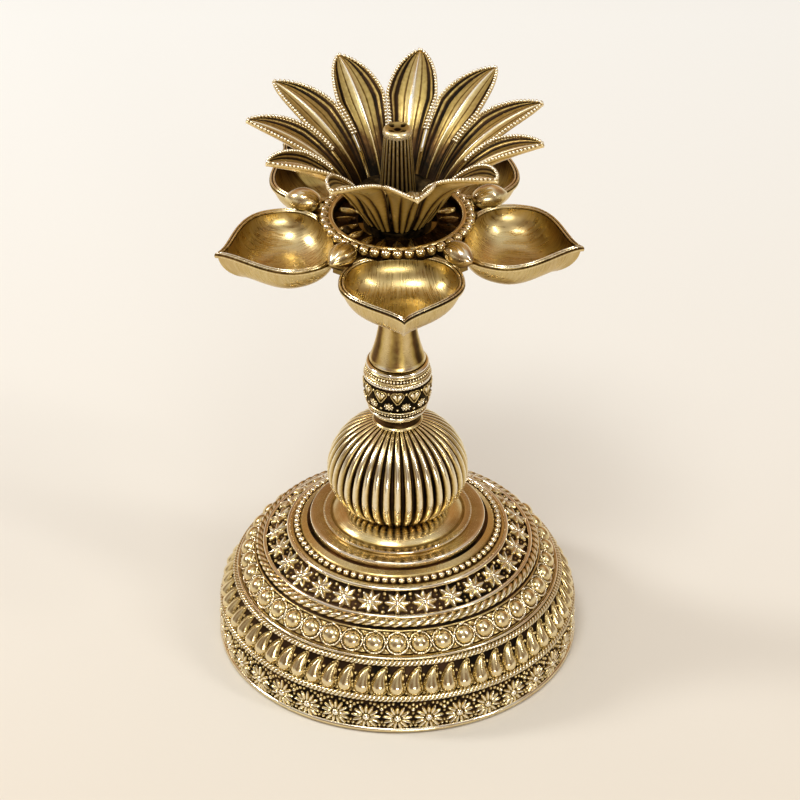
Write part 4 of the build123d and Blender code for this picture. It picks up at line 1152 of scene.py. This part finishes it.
def cap_sheet():
    """Dished top and rounded shoulder as a height over a disc of rings and spokes; inside a stick hole the
    height drops by the hole's depth over a narrow bevel."""
    flat_r = CAP_R - CAP_ROUND
    shoulder = flat_r + CAP_ROUND * np.sin(np.linspace(0.12, np.pi / 2, 12))
    r = np.concatenate([np.linspace(0, flat_r, 46), shoulder])[:, None]
    a = np.arange(160) * TURN / 160
    dish = CAP_DISH * (1 - (r / flat_r) ** 2).clip(0)
    round_off = CAP_ROUND * (1 - np.sqrt(1 - np.clip((r - flat_r) / CAP_ROUND, 0, 1) ** 2))
    x, y = r * np.cos(a), r * np.sin(a)
    inside = np.clip((MIDDLE_HOLE_R - np.hypot(x, y)) / BEVEL, 0, 1)
    for hole_x, hole_y, _ in circle(SIDE_HOLES, HOLE_ROW_R, 0.0, 45.0):
        inside = np.maximum(inside, np.clip((SIDE_HOLE_R - np.hypot(x - hole_x, y - hole_y)) / BEVEL, 0, 1))
    top = np.stack([x, y, CAP_TOP - dish - round_off - (HOLE_DEEP - dish) * inside], axis=-1)
    shade = 0.35 + 0.55 * np.clip(r / CAP_R, 0, 1) ** 3 + 0 * a - inside
    below = top[-1:] * [1, 1, 0] + [0, 0, CAP_Z]
    points = np.concatenate([top, below, below * [0, 0, 1]])
    return weave(points[::-1], np.concatenate([shade, shade[-1:], shade[-1:]])[::-1], ring=True)


piece("dished_cap", [cap_sheet()], "holder", "lotus_brass", lotus, "incense_cap", sharp=45)

# %% [markdown]
# ## Rod, nuts and hidden seats
# The threaded rod, its washers and nuts, the hub plate, the rivets and the lotus's foot and cup are right
# as they came from the model, so they stay and only get a finish.

# %% Finishes for pieces that stay
for name in ("tie_rod", "base_washer", "base_nut", "top_washer", "top_nut"):
    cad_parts[name].material_slots[0].material = rod_steel
for name in ("tray_hub", "bowl_rivets", "lotus_foot", "lotus_cup"):
    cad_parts[name].material_slots[0].material = near_black_brass
print("kept from the model:", [name for name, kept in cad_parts.items() if not kept.hide_render])

# %% [markdown]
# ## Floor, light and camera
# Metal shows its surroundings, so the room matters as much as the brass: a cream floor lights the lamp
# from below, a warm brown haze at the back gives the copper tone on level faces, windows between brown
# walls part the light, and soft boxes make the pale highlights.

# %% Floor
NEAR_CREAM, FAR_CREAM = (0.70, 0.64, 0.54, 1), (0.93, 0.965, 0.965, 1)


def cream_floor():
    """Matt cream paper, a little warmer towards the viewer."""
    finish = bpy.data.materials.new("cream_floor")
    finish.use_nodes = True
    tree = finish.node_tree
    shader = tree.nodes["Principled BSDF"]
    shader.inputs["Roughness"].default_value = 0.9
    shader.inputs["Specular IOR Level"].default_value = 0.1
    places = node(tree, "TexCoord").outputs["Object"]
    depth = node(tree, "SeparateXYZ", Vector=places).outputs["Y"]
    far = between(tree, depth, -0.25, 0.5, 0.0, 1.0)
    speck = work(tree, "MULTIPLY", cloud(tree, places, 2.0), 0.02)
    shade = ramp(tree, work(tree, "ADD", far, speck), (0.0, NEAR_CREAM), (1.0, FAR_CREAM))
    plug(tree, shade, shader.inputs["Base Color"])
    return finish


FLOOR_HALF, FLOOR_DROP = 6000.0, 0.2
t = np.linspace(-FLOOR_HALF, FLOOR_HALF, 3)
x, y = np.meshgrid(t, t)
floor_mesh = mesh_of("floor", [weave(np.stack([x, y, 0 * x - FLOOR_DROP], axis=-1), np.ones_like(x))], 30)
floor = bpy.data.objects.new("floor", floor_mesh)
bpy.context.scene.collection.objects.link(floor)
floor_mesh.materials.append(cream_floor())
print("floor is", 2 * FLOOR_HALF * MM, "m wide")


# %% World and soft boxes
WINDOWS, ROOM_LIGHT = 5, 1.05
LOW_CREAM, HIGH_WHITE = (0.86, 0.84, 0.80, 1), (0.82, 0.81, 0.79, 1)
BROWN_WALL, DUSK = (0.20, 0.11, 0.055, 1), (0.24, 0.18, 0.13, 1)
BACK_CREAM, COPPER_HAZE, DEEP_HAZE = (0.86, 0.82, 0.74, 1), (0.50, 0.33, 0.18, 1), (0.50, 0.28, 0.12, 1)
LAMP_MIDDLE = np.array([0, 0, 0.12])
DAYLIGHT, WARM_LIGHT = (1.0, 0.99, 0.97), (1.0, 0.98, 0.95)


def warm_room():
    """Room light by height: cream low down, dusk above it and white overhead, with a copper haze at the back.
    A sine of the angle parts it into windows and brown walls, which stripe the brass."""
    world = bpy.data.worlds.new("warm_room")
    bpy.context.scene.world = world
    world.use_nodes = True
    tree = world.node_tree
    part = node(tree, "SeparateXYZ", Vector=node(tree, "TexCoord").outputs["Generated"])
    front = ramp(tree, part.outputs["Z"], (0.0, LOW_CREAM), (0.35, DUSK), (1.0, HIGH_WHITE))
    back = ramp(
        tree, part.outputs["Z"],
        (0.0, BACK_CREAM), (0.25, COPPER_HAZE), (0.60, DEEP_HAZE), (1.0, HIGH_WHITE),
    )
    behind = between(tree, part.outputs["Y"], -0.1, 0.5, 0.0, 1.0)
    turn = work(tree, "ARCTAN2", part.outputs["Y"], part.outputs["X"])
    panes = work(tree, "SINE", work(tree, "MULTIPLY_ADD", turn, WINDOWS, 2.6))
    open_wall = between(tree, panes, -0.5, 0.4, 0.25, 1.0)
    light = work(tree, "MAXIMUM", open_wall, between(tree, part.outputs["Z"], 0.35, 0.9, 0.0, 1.0))
    colour = tint(tree, light, BROWN_WALL, tint(tree, behind, front, back))
    plug(tree, colour, tree.nodes["Background"].inputs["Color"])
    tree.nodes["Background"].inputs["Strength"].default_value = ROOM_LIGHT


def soft_box(name, azimuth, elevation, distance, size, power, colour):
    """Rectangular light that looks at the middle of the lamp from an azimuth and an elevation, in degrees."""
    data = bpy.data.lights.new(name, "AREA")
    data.shape = "RECTANGLE"
    data.size, data.size_y = size
    data.energy = power
    data.color = colour
    lamp = bpy.data.objects.new(name, data)
    a, e = math.radians(azimuth), math.radians(elevation)
    out = np.array([math.cos(e) * math.cos(a), math.cos(e) * math.sin(a), math.sin(e)])
    lamp.location = LAMP_MIDDLE + out * distance
    lamp.rotation_euler = (math.pi / 2 - e, 0, a + math.pi / 2)
    bpy.context.scene.collection.objects.link(lamp)
    print(name, "at", [round(v, 2) for v in lamp.location])


warm_room()
soft_box("key_box", -112, 62, 1.9, (0.50, 0.44), 11, DAYLIGHT)
soft_box("right_box", -28, 40, 1.8, (0.13, 0.7), 6, WARM_LIGHT)
soft_box("left_box", 174, 34, 1.8, (0.32, 0.5), 12, DAYLIGHT)
soft_box("low_box", -80, 12, 1.9, (0.7, 0.25), 9, DAYLIGHT)

# %% Camera
AIM = np.array([0, 0, 0.112])
CAMERA_EL, CAMERA_DISTANCE = math.radians(33.5), 1.5
PIXELS, PIXELS_PER_M = 800, 2690
SHIFT_RIGHT, SHIFT_UP = 2.5, -17.9
view = bpy.data.cameras.new("view")
view.sensor_width = 36
view.lens = view.sensor_width * PIXELS_PER_M * CAMERA_DISTANCE / PIXELS
view.shift_x, view.shift_y = SHIFT_RIGHT / PIXELS, SHIFT_UP / PIXELS
view.clip_start, view.clip_end = 0.05, 30
camera = bpy.data.objects.new("view", view)
camera.location = AIM + CAMERA_DISTANCE * np.array([0, -math.cos(CAMERA_EL), math.sin(CAMERA_EL)])
camera.rotation_euler = (math.pi / 2 - CAMERA_EL, 0, 0)
bpy.context.scene.collection.objects.link(camera)
bpy.context.scene.camera = camera
bpy.context.scene.view_settings.view_transform = "Standard"
print("lens", round(view.lens, 1), "mm")

# %% The end
bpy.context.view_layer.update()
